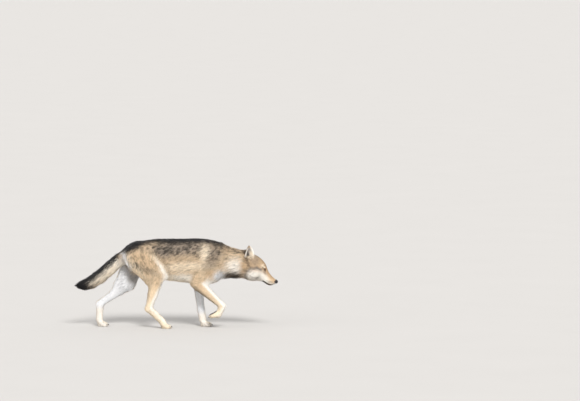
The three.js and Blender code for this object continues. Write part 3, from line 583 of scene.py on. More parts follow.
class Skin:
    """The outline moved in by the coat's depth, with what the coat needs to know at each vertex."""

    def __init__(self):
        places, triangles = outline()
        near = Neighbours(triangles, len(places))
        known, nose = coat_values(places, nearest_nodes(places), near)
        depth, size, steps, weights, lie = known
        sole = places[:, 2:] < 6 * MM
        for k in range(int(steps.max())):
            places = places + 0.6 * np.clip(steps - k, 0, 1) * (near.mean(places) - places)
        inward = unit(near.smooth(normals_of(places, triangles), 6))
        depth = near.smooth(np.where(sole, 0, depth * MM), 3)
        places = near.smooth(places - depth * inward, 4, 0.5)
        places = wide_ears(places, step(weights[:, -1], 0.2, 0.7))
        normals = unit(near.smooth(normals_of(places, triangles), 3))
        flow = near.smooth(tangent(lie, normals), LIE_STEPS)
        self.take(np.column_stack([places, normals, flow, depth, size * MM, weights, nose]))
        self.triangles = triangles
        self.refine(lambda back, up: back < FACE_BACK)
        self.refine(by_lips_or_eyes)
        self.model_face()

    def take(self, values):
        """Reads the columns of values, one row for each vertex."""
        self.values = values
        self.places, self.normals, self.flow = values[:, :3], values[:, 3:6], values[:, 6:9]
        self.depth, self.length, self.width = values[:, 9:12].T
        self.weights = {"limb": values[:, 12:17], "head": values[:, 17], "ear": values[:, 18]}
        self.nose = values[:, 19]

    def refine(self, chosen):
        """Splits the head's triangles where a test of the place, back and up in the head's frame, holds."""
        back, _, up = head_coordinates(self.places).T / MM
        on_head = self.weights["head"] > 0.5
        values, self.triangles = refined(self.values, self.triangles, on_head & chosen(back, up))
        self.take(values)

    def model_face(self):
        """Moves the face out and in by its relief."""
        share = step(self.weights["head"], 0.4, 0.8)[:, None]
        self.places = self.places + face_relief(self.places)[:, None] * MM * share * self.normals
        fresh = normals_of(self.places, self.triangles)
        self.normals = unit(self.normals + (fresh - self.normals) * share)
        self.flow = tangent(self.flow, self.normals)


# ---- Markings ----
def linear(*srgb):
    """A colour given as the eye sees it, 0 to 255, as the light it returns."""
    c = np.array(srgb) / 255
    return np.where(c <= 0.04045, c / 12.92, ((c + 0.055) / 1.055) ** 2.4)


WHITE = linear(250, 245, 236)
SNOW = linear(240, 241, 243)
CREAM = linear(242, 227, 202)
BUFF = linear(228, 205, 172)
TAN = linear(206, 177, 142)
RUST = linear(178, 134, 92)
FAWN = linear(176, 153, 126)
GREY = linear(134, 124, 114)
SLATE = linear(88, 88, 94)
BROWN = linear(108, 86, 66)
BLACK = linear(15, 14, 16)
INK = linear(37, 39, 47)
HIDE = linear(38, 31, 29)


def line(x, z, path, width):
    """How near a place is to a line through points, from 1 on it to almost 0 at twice the width."""
    best = np.full(len(x), np.inf)
    for (ax, az), (bx, bz) in zip(path, path[1:]):
        length2 = (bx - ax) ** 2 + (bz - az) ** 2
        t = np.clip(((x - ax) * (bx - ax) + (z - az) * (bz - az)) / length2, 0, 1)
        best = np.minimum(best, np.hypot(x - ax - t * (bx - ax), z - az - t * (bz - az)))
    return np.exp(-((best / width) ** 2))


def patch(x, z, middle, radii, turn=0.0):
    """A soft-edged oval, 1 inside and 0 outside."""
    c, s = math.cos(math.radians(turn)), math.sin(math.radians(turn))
    dx, dz = x - middle[0], z - middle[1]
    r = np.hypot((c * dx + s * dz) / radii[0], (c * dz - s * dx) / radii[1])
    return 1 - step(r, 0.35, 1.35)


class Paint:
    """A colour at each of many places, painted over layer by layer.

    Ovals and strokes lie in the plane of x and z.
    """

    def __init__(self, colour, x, z=None):
        self.colour = np.tile(colour, (len(x), 1))
        self.x, self.z = x, z

    def over(self, colour, amount):
        share = np.clip(amount + np.zeros(len(self.colour)), 0, 1)[:, None]
        self.colour = self.colour * (1 - share) + colour * share

    def oval(self, colour, amount, middle, radii, turn=0.0):
        self.over(colour, amount * patch(self.x, self.z, middle, radii, turn))

    def stroke(self, colour, amount, path, width):
        self.over(colour, amount * line(self.x, self.z, path, width))


def ridge_height(x):
    """The height of the back's ridge in millimetres, from the tail's root to the nape."""
    rear = 86 * step(-x, 190, 420) + 70 * step(-x, 430, 540)
    return 716 - rear - 92 * step(x, 260, 520) - 6 * step(x, 500, 600)


# Places of markings that several functions use, x and z in millimetres: the pale patch under the tail's root,
# whose cool white is partly a painted reflection, the line of painted shadow in the fold before the right
# thigh, and ovals as middle, radii and turn.
RUMP = [(-424, 592), (-410, 536), (-380, 480)]
FLANK_FOLD_SHADOW = [(-146, 588), (-104, 546), (-74, 500), (-56, 450), (-58, 404)]
SADDLE_SPOT = ((10, 646), (200, 62))
HIP_SPOT = ((-120, 606), (86, 40), -25)


# The share of the pale patch under the tail's root: pale fur, with its bright cool white partly a painted
# reflection.
def rump_share(x, y, z):
    return line(x, z, RUMP, 20) * (1 - step(y, 10, 50))


def throat_share(x, z):
    """1 along the underside of the neck, which is painted dark: partly dark fur and partly painted shade."""
    return step(x, 372, 404) * (1 - step(z, 424, 462)) * (1 - step(x, 560, 590))


def body_markings(x, y, z):
    """Trunk and neck: a grizzled saddle and ridge over buff flanks and a pale belly, with painted shade under
    the neck and in the fold before the right thigh, and a pale rump patch whose cool white is partly a
    painted reflection.
    """
    under = ridge_height(x) - z
    saddle = step(x, -470, -400) * (1 - step(x, 330, 430))
    crest = step(x, -560, -500) * (1 - step(x, 330, 430))
    hips = 1 - step(x, -200, -40)
    paint = Paint(BUFF, x, z)
    paint.over(TAN, 0.55 * step(z, 430, 540))
    paint.over(GREY, 0.56 * (1 - step(under, 70, 200)) * saddle * (1 - 0.55 * hips))
    paint.oval(SLATE, 0.32, *SADDLE_SPOT)
    paint.oval(GREY, 0.6, *HIP_SPOT)
    paint.over(INK, 0.92 * (1 - step(under, 8, 44 - 12 * hips)) * crest)
    paint.over(FAWN, 0.6 * step(x, 380, 430) * (1 - step(under, 30, 110)))
    paint.oval(CREAM, 0.8, (70, 496), (190, 46), 4)
    paint.stroke(FAWN, 0.35, [(-60, 432), (90, 440), (200, 448)], 13)
    paint.over(CREAM, 0.95 * (1 - step(z, 416, 458)) * step(x, -200, -60) * (1 - step(x, 240, 300)))
    paint.oval(WHITE, 0.7, (70, 404), (130, 36))
    paint.oval(GREY, 0.5, (296, 570), (62, 96), 12)
    paint.oval(GREY, 0.4, (256, 500), (56, 62))
    paint.over(CREAM, 0.85 * patch(x, z, (228, 612), (38, 80), -6) * step(under, 4, 40))
    paint.oval(BUFF, 0.7, (480, 540), (115, 100))
    paint.oval(WHITE, 0.9, (484, 486), (98, 80), -12)
    paint.stroke(BROWN, 0.25, [(392, 640), (398, 580), (392, 520)], 10)
    paint.oval(TAN, 0.8, (270, 420), (60, 60))
    paint.oval(SNOW, 0.95, (348, 414), (54, 60), -30)
    # Painted shade with dark fur under the neck: the throat is darkened and given more black tips.
    throat = throat_share(x, z)
    paint.over(BROWN * 0.7, 0.92 * throat)
    # Pale fur under the tail's root, its cool white partly a painted reflection.
    rump = rump_share(x, y, z)
    paint.over(SNOW, 0.95 * rump)
    # Painted shadow: a brown line in the fold just before the right thigh, on the right flank only.
    paint.over(BROWN, 0.6 * line(x, z, FLANK_FOLD_SHADOW, 10) * (y < 0))
    dark = 0.04 + 0.10 * step(z, 470, 560) + 0.14 * patch(x, z, *SADDLE_SPOT)
    dark += (0.24 - 0.10 * hips) * (1 - step(under, 80, 200)) * saddle
    dark += (0.85 - 0.45 * step(x, 90, 150)) * (1 - step(under, 14, 46)) * crest
    dark += 0.22 * step(x, 380, 430) * (1 - step(under, 16, 70))
    dark += 0.16 * patch(x, z, (296, 570), (64, 96), 12)
    for middle, radii in [((228, 612), (38, 76)), ((484, 490), (92, 78)), ((348, 414), (56, 64))]:
        dark *= 1 - 0.75 * patch(x, z, middle, radii)
    dark *= step(z, 400, 490) * (1 - rump)
    # More black tips under the neck, for its dark fur and its painted shade.
    dark += 0.2 * patch(x, z, *HIP_SPOT) + 0.65 * throat
    return paint.colour, dark


def front_edge(past, ahead, edge, wide=36):
    """1 along the front edge of a leg, which is given ahead of its line of joints."""
    return step(ahead - np.interp(past, *np.transpose(edge)), -wide, -0.4 * wide)


# How far a hind leg's front edge lies ahead of its line of joints, by the distance past its knee.
HIND_EDGE = [(-246, 58), (-140, 76), (-60, 89), (0, 78), (50, 65), (100, 52), (160, 38), (200, 31), (400, 24)]
FORE_EDGE = [(-220, 70), (0, 50), (230, 28), (400, 24)]


def thigh_markings(x, y, z, along, ahead, inner, knee):
    """From the hip to the knee: mottled tan, a grey smudge down across it, a white front edge, and painted
    shadow inside.
    """
    paint = Paint(TAN, x)
    paint.over(BUFF, 0.4 + 0.35 * step(along, 150, 250))
    smudge = line(along, ahead, [(60, -96), (150, -50), (235, 4)], 22)
    paint.over(GREY, 0.5 * smudge)
    front = front_edge(along - knee, ahead + 12 * step(along, 120, 240), HIND_EDGE)
    paint.over(CREAM, 0.6 * front * step(along, 40, 110))
    front = front * step(along, 100, 200)
    paint.over(WHITE, 0.98 * front)
    paint.over(CREAM, 0.5 * step(-ahead, 60, 100))
    paint.over(SNOW, 0.95 * inner)
    # Painted shadow on the upper inner thigh by the groin, where the other thigh shades it, over the groin's
    # greyer hair.
    paint.over(GREY, 0.7 * inner * patch(along, ahead, (knee - 74, 26), (80, 54)))
    # Pale fur under the tail's root, its cool white partly a painted reflection.
    rump = rump_share(x, y, z)
    paint.over(SNOW, 0.95 * rump)
    dark = 0.15 + 0.13 * (1 - step(along, 80, 190)) + 0.22 * smudge
    dark *= (1 - front) * (1 - inner) * (1 - rump)
    return paint.colour, dark * (1 - 0.75 * step(along, 180, 290))


def arm_markings(x, y, z, along, ahead, inner, elbow):
    """From the shoulder to the elbow: the flank's coat, warmer and paler towards the elbow."""
    colour, dark = body_markings(x, y, z)
    paint = Paint(TAN, x)
    paint.over(BUFF, 0.6)
    paint.over(WHITE, 0.9 * step(ahead, 36, 66))
    paint.over(WHITE, 0.6 * inner)
    paint.over(BROWN, 0.6 * bump(ahead, -52, 9))
    low = step(along, elbow - 130, elbow - 40)
    return colour + (paint.colour - colour) * low[:, None], dark * (1 - 0.85 * low)


def leg_markings(along, ahead, inner, knee, foot, edge, rear_grey_and_shade):
    """Below the knee or elbow: warm buff, white in front and inside, and grey along the rear edge, partly
    grey hair and partly painted shade.
    """
    paint = Paint(BUFF, along)
    paint.over(TAN, 0.4 * (1 - step(along, knee + 20, 0.5 * (knee + foot))))
    paint.over(CREAM, 0.75 * step(along, 0.5 * (knee + foot), foot))
    paint.over(WHITE, 0.97 * front_edge(along - knee, ahead, edge, 29))
    paint.over(SNOW, 0.95 * inner)
    # The grey rear edge: grey hair, and partly painted shade on the leg's rear and underside.
    paint.over(GREY, rear_grey_and_shade * step(-ahead, 16, 32) * (1 - inner) * (1 - step(along, foot - 60, foot)))
    paint.over(CREAM, 0.5 * step(along, foot, foot + 60))
    dark = 0.02 + 0.4 * rear_grey_and_shade * step(-ahead, 14, 30) * (1 - inner) * (1 - step(along, foot - 60, foot))
    return paint.colour, dark


def tail_markings(along, over):
    """A black line along the top and a black tip, cream sides, brown beneath near the tip."""
    paint = Paint(CREAM, along)
    paint.over(WHITE, 0.3)
    paint.over(WHITE, 0.6 * (1 - step(along, 60, 220)) * step(-over, -20, 20))
    paint.over(FAWN, 0.6 * step(along, 240, 400) * step(-over, -6, 30))
    paint.over(INK, 0.95 * step(over, 4, 20))
    tip = step(along, 390, 446)
    paint.over(BLACK, tip)
    dark = 0.18 + 0.9 * step(over, 2, 18) + 0.3 * step(along, 250, 390) + tip
    return paint.colour, dark


def head_markings(x, z, back, up):
    """White cheeks and lips, a rust and tan bridge and brow, and the dark lines of the face, with painted
    shade behind the ear and the cheek ruff and under the jaw, and a pale brow spot that is partly a painted
    highlight.
    """
    paint = Paint(TAN, x, z)
    paint.over(FAWN, 0.6 * step(back, 170, 240) * step(up, -30, 10))
    paint.over(RUST, 0.45 * step(up, -8, 14) * bump(back, 100, 46))
    paint.over(BUFF, 0.8 * step(-up, 8, 30) * (1 - step(back, 100, 130)))
    paint.oval(GREY, 0.25, (632, 545), (40, 50), -30)
    paint.oval(CREAM, 0.6, (690, 500), (22, 14), 40)
    cheek = patch(x, z, (620, 420), (92, 56), 6)
    paint.over(WHITE, 0.99 * cheek)
    paint.stroke(WHITE, 0.95, [(590, 404), (650, 388), (706, 372)], 24)
    paint.oval(WHITE, 0.9, (696, 408), (58, 30), -37)
    paint.stroke(SLATE, 0.8, [(678, 470), (640, 488), (596, 480), (574, 464)], 9)
    paint.stroke(BROWN, 0.5, [(585, 430), (604, 408), (650, 405)], 4)
    paint.stroke(BROWN, 0.5, [(700, 452), (712, 436)], 7)
    paint.over(BROWN, 0.5 * line(back, up, [(158, 14), (136, 6)], 9))
    paint.over(HIDE, 0.85 * line(back, up, [(154, 13), (168, 18)], 2.8))
    paint.over(HIDE, 0.85 * line(back, up, [(140, 9), (126, 1)], 2.8))
    # A pale spot over the eye: pale brow hair, partly a painted highlight on the brow.
    paint.oval(CREAM, 0.8, (706, 488), (11, 8), 50)
    paint.oval(CREAM, 0.6, (594, 580), (44, 22), -8)
    # Painted shadow behind the ear, between it and the ruff, over a dark rim of hair.
    paint.stroke(BROWN * 0.6, 0.95, [(546, 616), (554, 566), (582, 500)], 9)
    # Painted shadow that the cheek ruff casts on the neck, along its dark rear edge.
    paint.stroke(BROWN * 0.8, 0.7, [(560, 470), (556, 420), (560, 384)], 12)
    lip = lip_height(back) - up
    paint.over(WHITE, 0.7 * bump(lip, -9, 9) * (1 - step(back, 96, 120)))
    paint.over(HIDE, bump(lip, 4, 5.5) * (1 - step(back, 96, 106)))
    # The lower jaw darkened below the lip line: partly its dark lower lip and partly painted shade under the
    # muzzle.
    paint.over(HIDE, 0.55 * step(lip, 8, 14) * (1 - step(back, 90, 120)))
    dark = 0.22 * step(back, 110, 200) * step(up, -40, 0) + 0.3 * step(back, 250, 300) * step(up, -20, 20)
    dark *= 1 - 0.9 * cheek
    return paint.colour, dark


def ear_markings(rise, inside, ahead):
    """Tawny behind, with a cream rim, a grey hollow with a dark slit and pale hair before it."""
    paint = Paint(TAN, rise)
    paint.over(BROWN, 0.55 * step(rise, 50, 110))
    paint.over(linear(176, 166, 158), 0.9 * inside)
    foot = step(rise, 2, 34)
    paint.over(CREAM, 0.85 * inside * step(ahead, -0.05, 0.35) * (1 - step(rise, 64, 90)) * foot)
    paint.over(HIDE, 1.3 * inside * bump(ahead + 0.004 * (rise - 50), -0.24, 0.2) * bump(rise, 46, 30))
    paint.over(WHITE, 0.9 * step(np.abs(ahead), 0.56, 0.84) * foot)
    return paint.colour, 0.12 + 0.25 * step(rise, 40, 100)


def mixed(under, over, share):
    """Markings, a colour and a share of black tips, laid over others as far as their share."""
    return [u + (o - u) * (share if u.ndim == 1 else share[:, None]) for u, o in zip(under, over)]


def limb_markings(limb, places, normals):
    """A limb's markings, and what share of them shows: a hind leg's end at its front edge."""
    x, y, z = places.T / MM
    along, _, ahead = limb_coordinates(places, limb)
    along, ahead = along / MM, ahead / MM
    if limb == "tail":
        return tail_markings(along, -ahead), 1
    inner = step(-normals[:, 1] * (1 if limb.endswith("left") else -1), 0.1, 0.7)
    knee = math.dist(*LIMBS[limb][:2])
    foot = knee + math.dist(*LIMBS[limb][1:3])
    if limb.startswith("hind"):
        upper = thigh_markings(x, y, z, along, ahead, inner, knee)
        lower = leg_markings(along, ahead, inner, knee, foot, HIND_EDGE, 0.3)
        shown = 1 - step(ahead - np.interp(along - knee, *np.transpose(HIND_EDGE)), 2, 14)
    else:
        upper = arm_markings(x, y, z, along, ahead, inner, knee)
        lower = leg_markings(along, ahead, inner, knee, foot, FORE_EDGE, 0.6)
        shown = 1
    return mixed(upper, lower, step(along, knee - 40, knee + 60)), shown


def markings(places, weights, normals):
    """The coat's colour at each place, and what share of its hairs have black tips."""
    x, y, z = places.T / MM
    back, _, up = head_coordinates(places).T / MM
    made = body_markings(x, y, z)
    for i, limb in enumerate(LIMB_NAMES):
        over, shown = limb_markings(limb, places, normals)
        made = mixed(made, over, np.clip(weights["limb"][:, i], 0, 1) * shown)
    made = mixed(made, head_markings(x, z, back, up), np.clip(weights["head"] * 1.2, 0, 1))
    ears = ear_markings(*ear_coordinates(places, normals))
    colour, dark = mixed(made, ears, step(weights["ear"], 0.25, 0.75))
    return colour, np.clip(dark, 0, 1)


# ---- Ears ----
EAR_ROOT = np.array([283, 65, -1])  # back, side and up in the head's frame, millimetres
EAR_OPEN = np.array([0.5, 0.86, -0.05])  # the way that the left ear's hollow faces
EAR_HEIGHT, EAR_HALF = 112, 47


def ear_frame(side):
    """Root, rise, opening and across of one ear, in the body's frame."""
    turned = np.array([1, side, 1])
    rise = unit(EAR_RISE * turned)
    opening = EAR_OPEN * turned
    opening = unit(opening - (opening @ rise) * rise)
    return from_head(EAR_ROOT * [1, side, 1] * MM), rise, opening, np.cross(rise, opening)


def ear_foot(places):
    """1 on the head near the open foot of either ear, where the hair is short, and 0 away from it."""
    share = np.zeros(len(places))
    for side in (1, -1):
        root, up, opening, _ = ear_frame(side)
        offset = (places - root - (14 * up + 10 * opening) * MM) / MM
        share += 1 - step(np.linalg.norm(offset, axis=1), 38, 62)
    return np.clip(share, 0, 1)


def wide_ears(places, ear):
    """The ears' rims moved out again by what the smoothing took from them. Ear is 1 on the ears."""
    for side in (1, -1):
        root, up, _, across = ear_frame(side)
        offset = places - root
        wide = 0.14 + 0.22 * step(offset @ up, 40 * MM, 90 * MM)
        wide = wide * ear * (places[:, 1] * side > 0) * (offset @ across)
        places = places + wide[:, None] * across
    return places


def ear_coordinates(places, normals):
    """How far up its ear a place is in millimetres, how much it faces the hollow, and how far ahead of the
    ear's middle it is, from -1 at the rear rim to 1 at the front one."""
    rise, inside, ahead = np.zeros((3, len(places)))
    for side in (1, -1):
        root, up, opening, across = ear_frame(side)
        own = places[:, 1] * side > 0
        offset = (places[own] - root) / MM
        rise[own] = offset @ up
        inside[own] = step(normals[own] @ opening, -0.1, 0.4)
        s = np.clip(rise[own] / EAR_HEIGHT, 0, 0.99)
        ahead[own] = -side * (offset @ across) / (1.14 * EAR_HALF * (1 - s**1.9) ** 0.85 + 1.5)
    return rise, inside, ahead


# ---- The coat ----
STATIONS = np.array([0, 0.33, 0.68, 1.0])  # along a tuft
GUARD_SHARE = 0.07  # of the tufts that are longer guard hair
TUFT_FILL = 0.62  # the share of its length times its width that a tapered tuft covers
STRAIGHT_LENGTH = 13 * MM  # shorter tufts are straight
ROOT_DEPTH = 0.8 * MM  # of a tuft's root under the skin
# Each coat piece's clump size in millimetres, how strongly its tufts gather, and whether its tufts are long.
PIECES = {
    "coat_face_left": (5, 0.3, False),
    "coat_face_right": (5, 0.3, False),
    "coat_ruff": (11, 0.6, True),
    "coat_ears": (6, 0.4, False),
    "coat_neck": (17, 0.65, True),
    "coat_back": (14, 0.68, True),
    "coat_flank_left": (13, 0.66, True),
    "coat_flank_right": (13, 0.66, True),
    "coat_thigh_left": (12, 0.62, True),
    "coat_thigh_right": (12, 0.62, True),
    "coat_fore_left": (8, 0.45, False),
    "coat_fore_right": (8, 0.45, False),
    "coat_hind_left": (8, 0.45, False),
    "coat_hind_right": (8, 0.45, False),
    "coat_tail": (12, 0.6, True),
}
PIECE_NAMES = list(PIECES)


def piece_of(places, normals, weights):
    """The number of the coat piece that each root belongs to."""
    x, y, _ = places.T / MM
    back = head_coordinates(places)[:, 0] / MM
    left = y > 0

    def number(name):
        return PIECE_NAMES.index("coat_" + name)

    piece = np.where(left, number("flank_left"), number("flank_right"))
    piece[normals[:, 2] > 0.35] = number("back")
    piece[x > 368] = number("neck")
    for i, name in enumerate(LIMB_NAMES):
        own = weights["limb"][:, i] > 0.5
        piece[own] = number(name)
        if name.startswith("hind"):
            along = limb_coordinates(places[own], name)[0] / MM
            thigh = np.flatnonzero(own)[along < math.dist(*LIMBS[name][:2]) - 10]
            piece[thigh] = number(name.replace("hind", "thigh"))
    head = weights["head"] > 0.5
    face = np.where(left, number("face_left"), number("face_right"))
    piece[head] = np.where(back < 170, face, number("ruff"))[head]
    piece[weights["ear"] > 0.5] = number("ears")
    return piece


class Roots:
    """Where tufts grow, with the skin's values at each."""

    def __init__(self, skin):
        corners = skin.triangles
        area = triangle_areas(skin.places, corners)
        fuller = 1 + 0.4 * skin.weights["limb"][:, TAIL]
        density = COVER / (TUFT_FILL * skin.length * skin.width) * haired(skin) * fuller
        number = np.floor(area * density[corners].mean(1) + random.random(len(corners))).astype(int)
        corners = np.repeat(corners, number, 0)
        u, v = random_shares(len(corners))
        shares = np.stack([1 - u - v, u, v], 1)[..., None]

        def at(values):
            """The skin's values at each root."""
            return (values[corners] * (shares if values.ndim == 2 else shares[..., 0])).sum(1)

        self.places = at(skin.places)
        self.normals = unit(at(skin.normals))
        self.flow = tangent(at(skin.flow), self.normals)
        self.depth, self.length, self.width = at(skin.depth), at(skin.length), at(skin.width)
        self.weights = {name: at(weight) for name, weight in skin.weights.items()}
        self.piece = piece_of(self.places, self.normals, self.weights)


def folded(places):
    """The places with those on the right side mirrored to the left."""
    return places * [1, 0, 1] + np.abs(places) * [0, 1, 0]


def eye_distance(places):
    """The distance to the nearer eye's centre."""
    return np.linalg.norm(folded(places) - EYE_CENTRE, axis=1)


def eye_opening(places):
    """1 on the skin before the nearer eyeball, where the lids open, and 0 round it."""
    ahead, flat = gaze_offsets(folded(places), 1)
    return (1 - step(flat, 10.3, 11.6)) * (ahead > 0) * (ahead < 30)


def sole_share(places, normals, limb):
    """1 under the paws, where bare pads are."""
    under = np.zeros(len(places))
    for name, (knuckle, drop, bend, _) in PAWS.items():
        on_limb = step(limb[:, LIMB_NAMES.index(name)], 0.4, 0.8)
        sole = np.array([-math.sin(bend), 0, -math.cos(bend)])
        low = (places - np.array(knuckle) * MM) @ sole / MM
        under += on_limb * step(normals @ sole, 0.5, 0.85) * step(low, drop - 16, drop - 8)
    return np.clip(under, 0, 1)


def haired(skin):
    """1 where hair grows, and 0 on the nose pad, eyes, lips and soles."""
    back, _, up = head_coordinates(skin.places).T / MM
    lips = bump(lip_height(back) - up, 2.5, 3) * (1 - step(back, 98, 104))
    bare = [step(skin.weights["head"], 0.4, 0.6) * lips, step(skin.nose, 0.4, 0.9), eye_opening(skin.places)]
    bare.append(sole_share(skin.places, skin.normals, skin.weights["limb"]))
    return 1 - np.clip(np.max(bare, 0), 0, 1)


def swung(vectors, axes, angles):
    """Vectors turned about unit axes that are square to them."""
    return vectors * np.cos(angles)[:, None] + np.cross(axes, vectors) * np.sin(angles)[:, None]


class Tufts:
    """Each tuft's line of stations, laid along the body, and what varies from tuft to tuft."""

    def __init__(self, skin, roots):
        count = len(roots.places)
        self.roots = roots
        self.gather_clumps()
        self.clump_luck = random.random(self.clumps)[self.clump]
        self.luck = random.random(count)
        self.sway = random.normal(0, 0.12, self.clumps)[self.clump] + random.normal(0, 0.13, count)
        reach = random.uniform(0.85, 1.12, self.clumps)[self.clump] * random.uniform(0.65, 1.15, count)
        lift = random.uniform(0.85, 1.12, self.clumps)[self.clump] * random.uniform(0.65, 1.15, count)
        guard = random.random(count) < GUARD_SHARE
        reach[guard] *= 1.15
        lift[guard] *= 1.15
        close = 0.45 + 0.55 * step(eye_distance(roots.places), 13 * MM, 40 * MM)
        close *= 1 - 0.35 * ear_foot(roots.places) * (roots.weights["ear"] < 0.5)
        tail = roots.weights["limb"][:, TAIL]
        tip = tail * step(limb_coordinates(roots.places, "tail")[0], 380 * MM, 480 * MM)
        self.length = roots.length * reach * close * (1 - 0.45 * tip)
        throat = throat_share(roots.places[:, 0] / MM, roots.places[:, 2] / MM)
        self.height = roots.depth * lift * close * (1 + 0.1 * tail + 0.4 * throat)
        self.lines = self.lay(skin)
        self.lean()

    def gather_clumps(self):
        """Gives each tuft a clump of its own coat piece, and says how strongly it leans to it."""
        roots = self.roots
        self.clump = np.full(len(roots.places), -1)
        self.gather = np.zeros(len(roots.places))
        self.clumps = 0
        for i, (size, strength, _) in enumerate(PIECES.values()):
            own = np.flatnonzero(roots.piece == i)
            area = np.sum(roots.length[own] * roots.width[own]) * TUFT_FILL / COVER
            centres = random.choice(own, max(8, int(area / (size * MM) ** 2)), replace=False)
            found = Near(roots.places[centres], 0.5 * size * MM, 6).find(roots.places[own])
            self.clump[own] = np.where(found >= 0, self.clumps + found, -1)
            self.clumps += len(centres)
            self.gather[own] = strength
        lone = self.clump < 0
        self.clump[lone] = self.clumps + np.arange(lone.sum())
        self.clumps += lone.sum()

    def lay(self, skin):
        """Long tufts follow the surface station by station. Short ones lie straight from their root."""
        r = self.roots
        near = Near(skin.places, 8 * MM, 6)
        place = r.places - ROOT_DEPTH * r.normals
        lines = [place]
        flow = swung(r.flow, r.normals, self.sway)
        normal = r.normals
        short = (r.length < STRAIGHT_LENGTH) | (r.weights["ear"] > 0.2)
        above = np.full(len(place), -ROOT_DEPTH)
        for k in range(1, len(STATIONS)):
            target = self.height * (0.12 + 0.88 * STATIONS[k] ** 0.8)
            if k > 1:
                found = near.find(place)
                lost = short | (found < 0)
                found = np.maximum(found, 0)
                normal = np.where(lost[:, None], normal, skin.normals[found])
                ahead = swung(skin.flow[found], skin.normals[found], self.sway)
                flow = np.where(lost[:, None], flow, unit(0.5 * flow + 0.5 * ahead))
                over = ((place - skin.places[found]) * normal).sum(1)
                above = np.where(lost | (np.abs(over) > 60 * MM), before, over)
            run = self.length * (STATIONS[k] - STATIONS[k - 1])
            climb = np.clip(target - above, -0.8 * run, 0.8 * run)
            along = tangent(flow, normal)
            level = np.sqrt(np.maximum(run**2 - climb**2, 0))
            place = place + along * level[:, None] + normal * climb[:, None]
            lines.append(place)
            before = target
        return np.stack(lines, 1)

    def lean(self):
        """Tufts of one clump lean together towards their tips."""
        members = np.bincount(self.clump, minlength=self.clumps)[:, None]
        for k in range(1, len(STATIONS)):
            middle = sums(self.clump, self.lines[:, k], self.clumps) / np.maximum(members, 1)
            pull = self.gather * STATIONS[k] ** 1.3 * (0.6 + 0.4 * self.luck)
            self.lines[:, k] += pull[:, None] * (middle[self.clump] - self.lines[:, k])
        self.lines[..., 2] = np.maximum(self.lines[..., 2], 0.6 * MM)


def shortness(length):
    """1 for short hair and 0 for long hair."""
    return 1 - step(length, 12 * MM, 38 * MM)


def tuft_colours(tufts):
    """A colour for each tuft's root, lower half, upper half and tip, with painted shade darkening the root
    and lower half.
    """
    r = tufts.roots
    stray = random.normal(0, 0.22, (len(r.length), 3)) * r.length[:, None]
    colour, dark = markings(tufts.lines[:, 2] + stray, r.weights, r.normals)
    short = shortness(r.length)
    vary = 0.16 * (tufts.clump_luck - 0.5) + 0.26 * (tufts.luck - 0.5)
    colour = colour * (1 + vary * (1 - 0.5 * short))[:, None]
    chance = 0.6 * tufts.clump_luck + 0.4 * random.random(len(colour))
    black = (np.clip((dark * 1.1 - chance) / 0.12, 0, 1) * (1 - 0.5 * short))[:, None]
    pale = (random.random(len(colour)) < 0.2)[:, None]
    middle = colour * (1 - 0.3 * black) * np.where(pale, 1.1, 1.0)
    tip = middle * (1 - black) * 1.05 + BLACK * black
    shoulder = middle * (1 - 0.6 * black) + BLACK * 0.6 * black
    short = short[:, None]
    # Painted shade: roots and lower halves darker, most of all in long hair, where the coat shades itself.
    return [middle * (0.42 + 0.5 * short), middle * (0.85 + 0.12 * short), shoulder, tip]


def chart(places, piece):
    """A place on an unwrap of the skin, round the axis of its part of the body, 0 to 1 each way."""
    x, y, z = places.T
    name = PIECE_NAMES[piece][5:]
    if name == "ears":
        u, v = np.zeros((2, len(x)))
        for side, tile in ((1, 0.25), (-1, 0.75)):
            root, rise, opening, across = ear_frame(side)
            own = y * side > 0
            offset = places[own] - root
            u[own] = tile + (offset @ across) / 0.25
            v[own] = 0.15 + (offset @ rise) / 0.4 + 0.45 * ((offset @ opening) > -8 * MM)
        return u, v
    limb = name.replace("thigh", "hind")
    if name.startswith("face") or name == "ruff":
        back, side, up = head_coordinates(places).T
        along, angle = back / 0.42, np.arctan2(side, up + 0.035)
    elif limb in LIMBS:
        distance, _, over = limb_coordinates(places, limb)
        along, angle = distance / 0.95, np.arctan2(y - np.median(y), over)
    else:
        along, angle = (x + 0.45) / 1.1, np.arctan2(y, z - 0.54)
    return along, angle / (2 * math.pi) + 0.5


BAKE_PATCH = 0.003  # the share of the map that one tuft takes
# A long tuft's corners as (station, left or right, half width), and a short one's.
LONG_BLADE = [(0, -1, 0.7), (0, 1, 0.7), (1, -1, 1.0), (1, 1, 1.0), (2, -1, 0.75), (2, 1, 0.75), (3, 0, 0)]
SHORT_BLADE = [(0, -1, 0.8), (0, 1, 0.8), (2, -1, 0.85), (2, 1, 0.85), (3, 0, 0)]


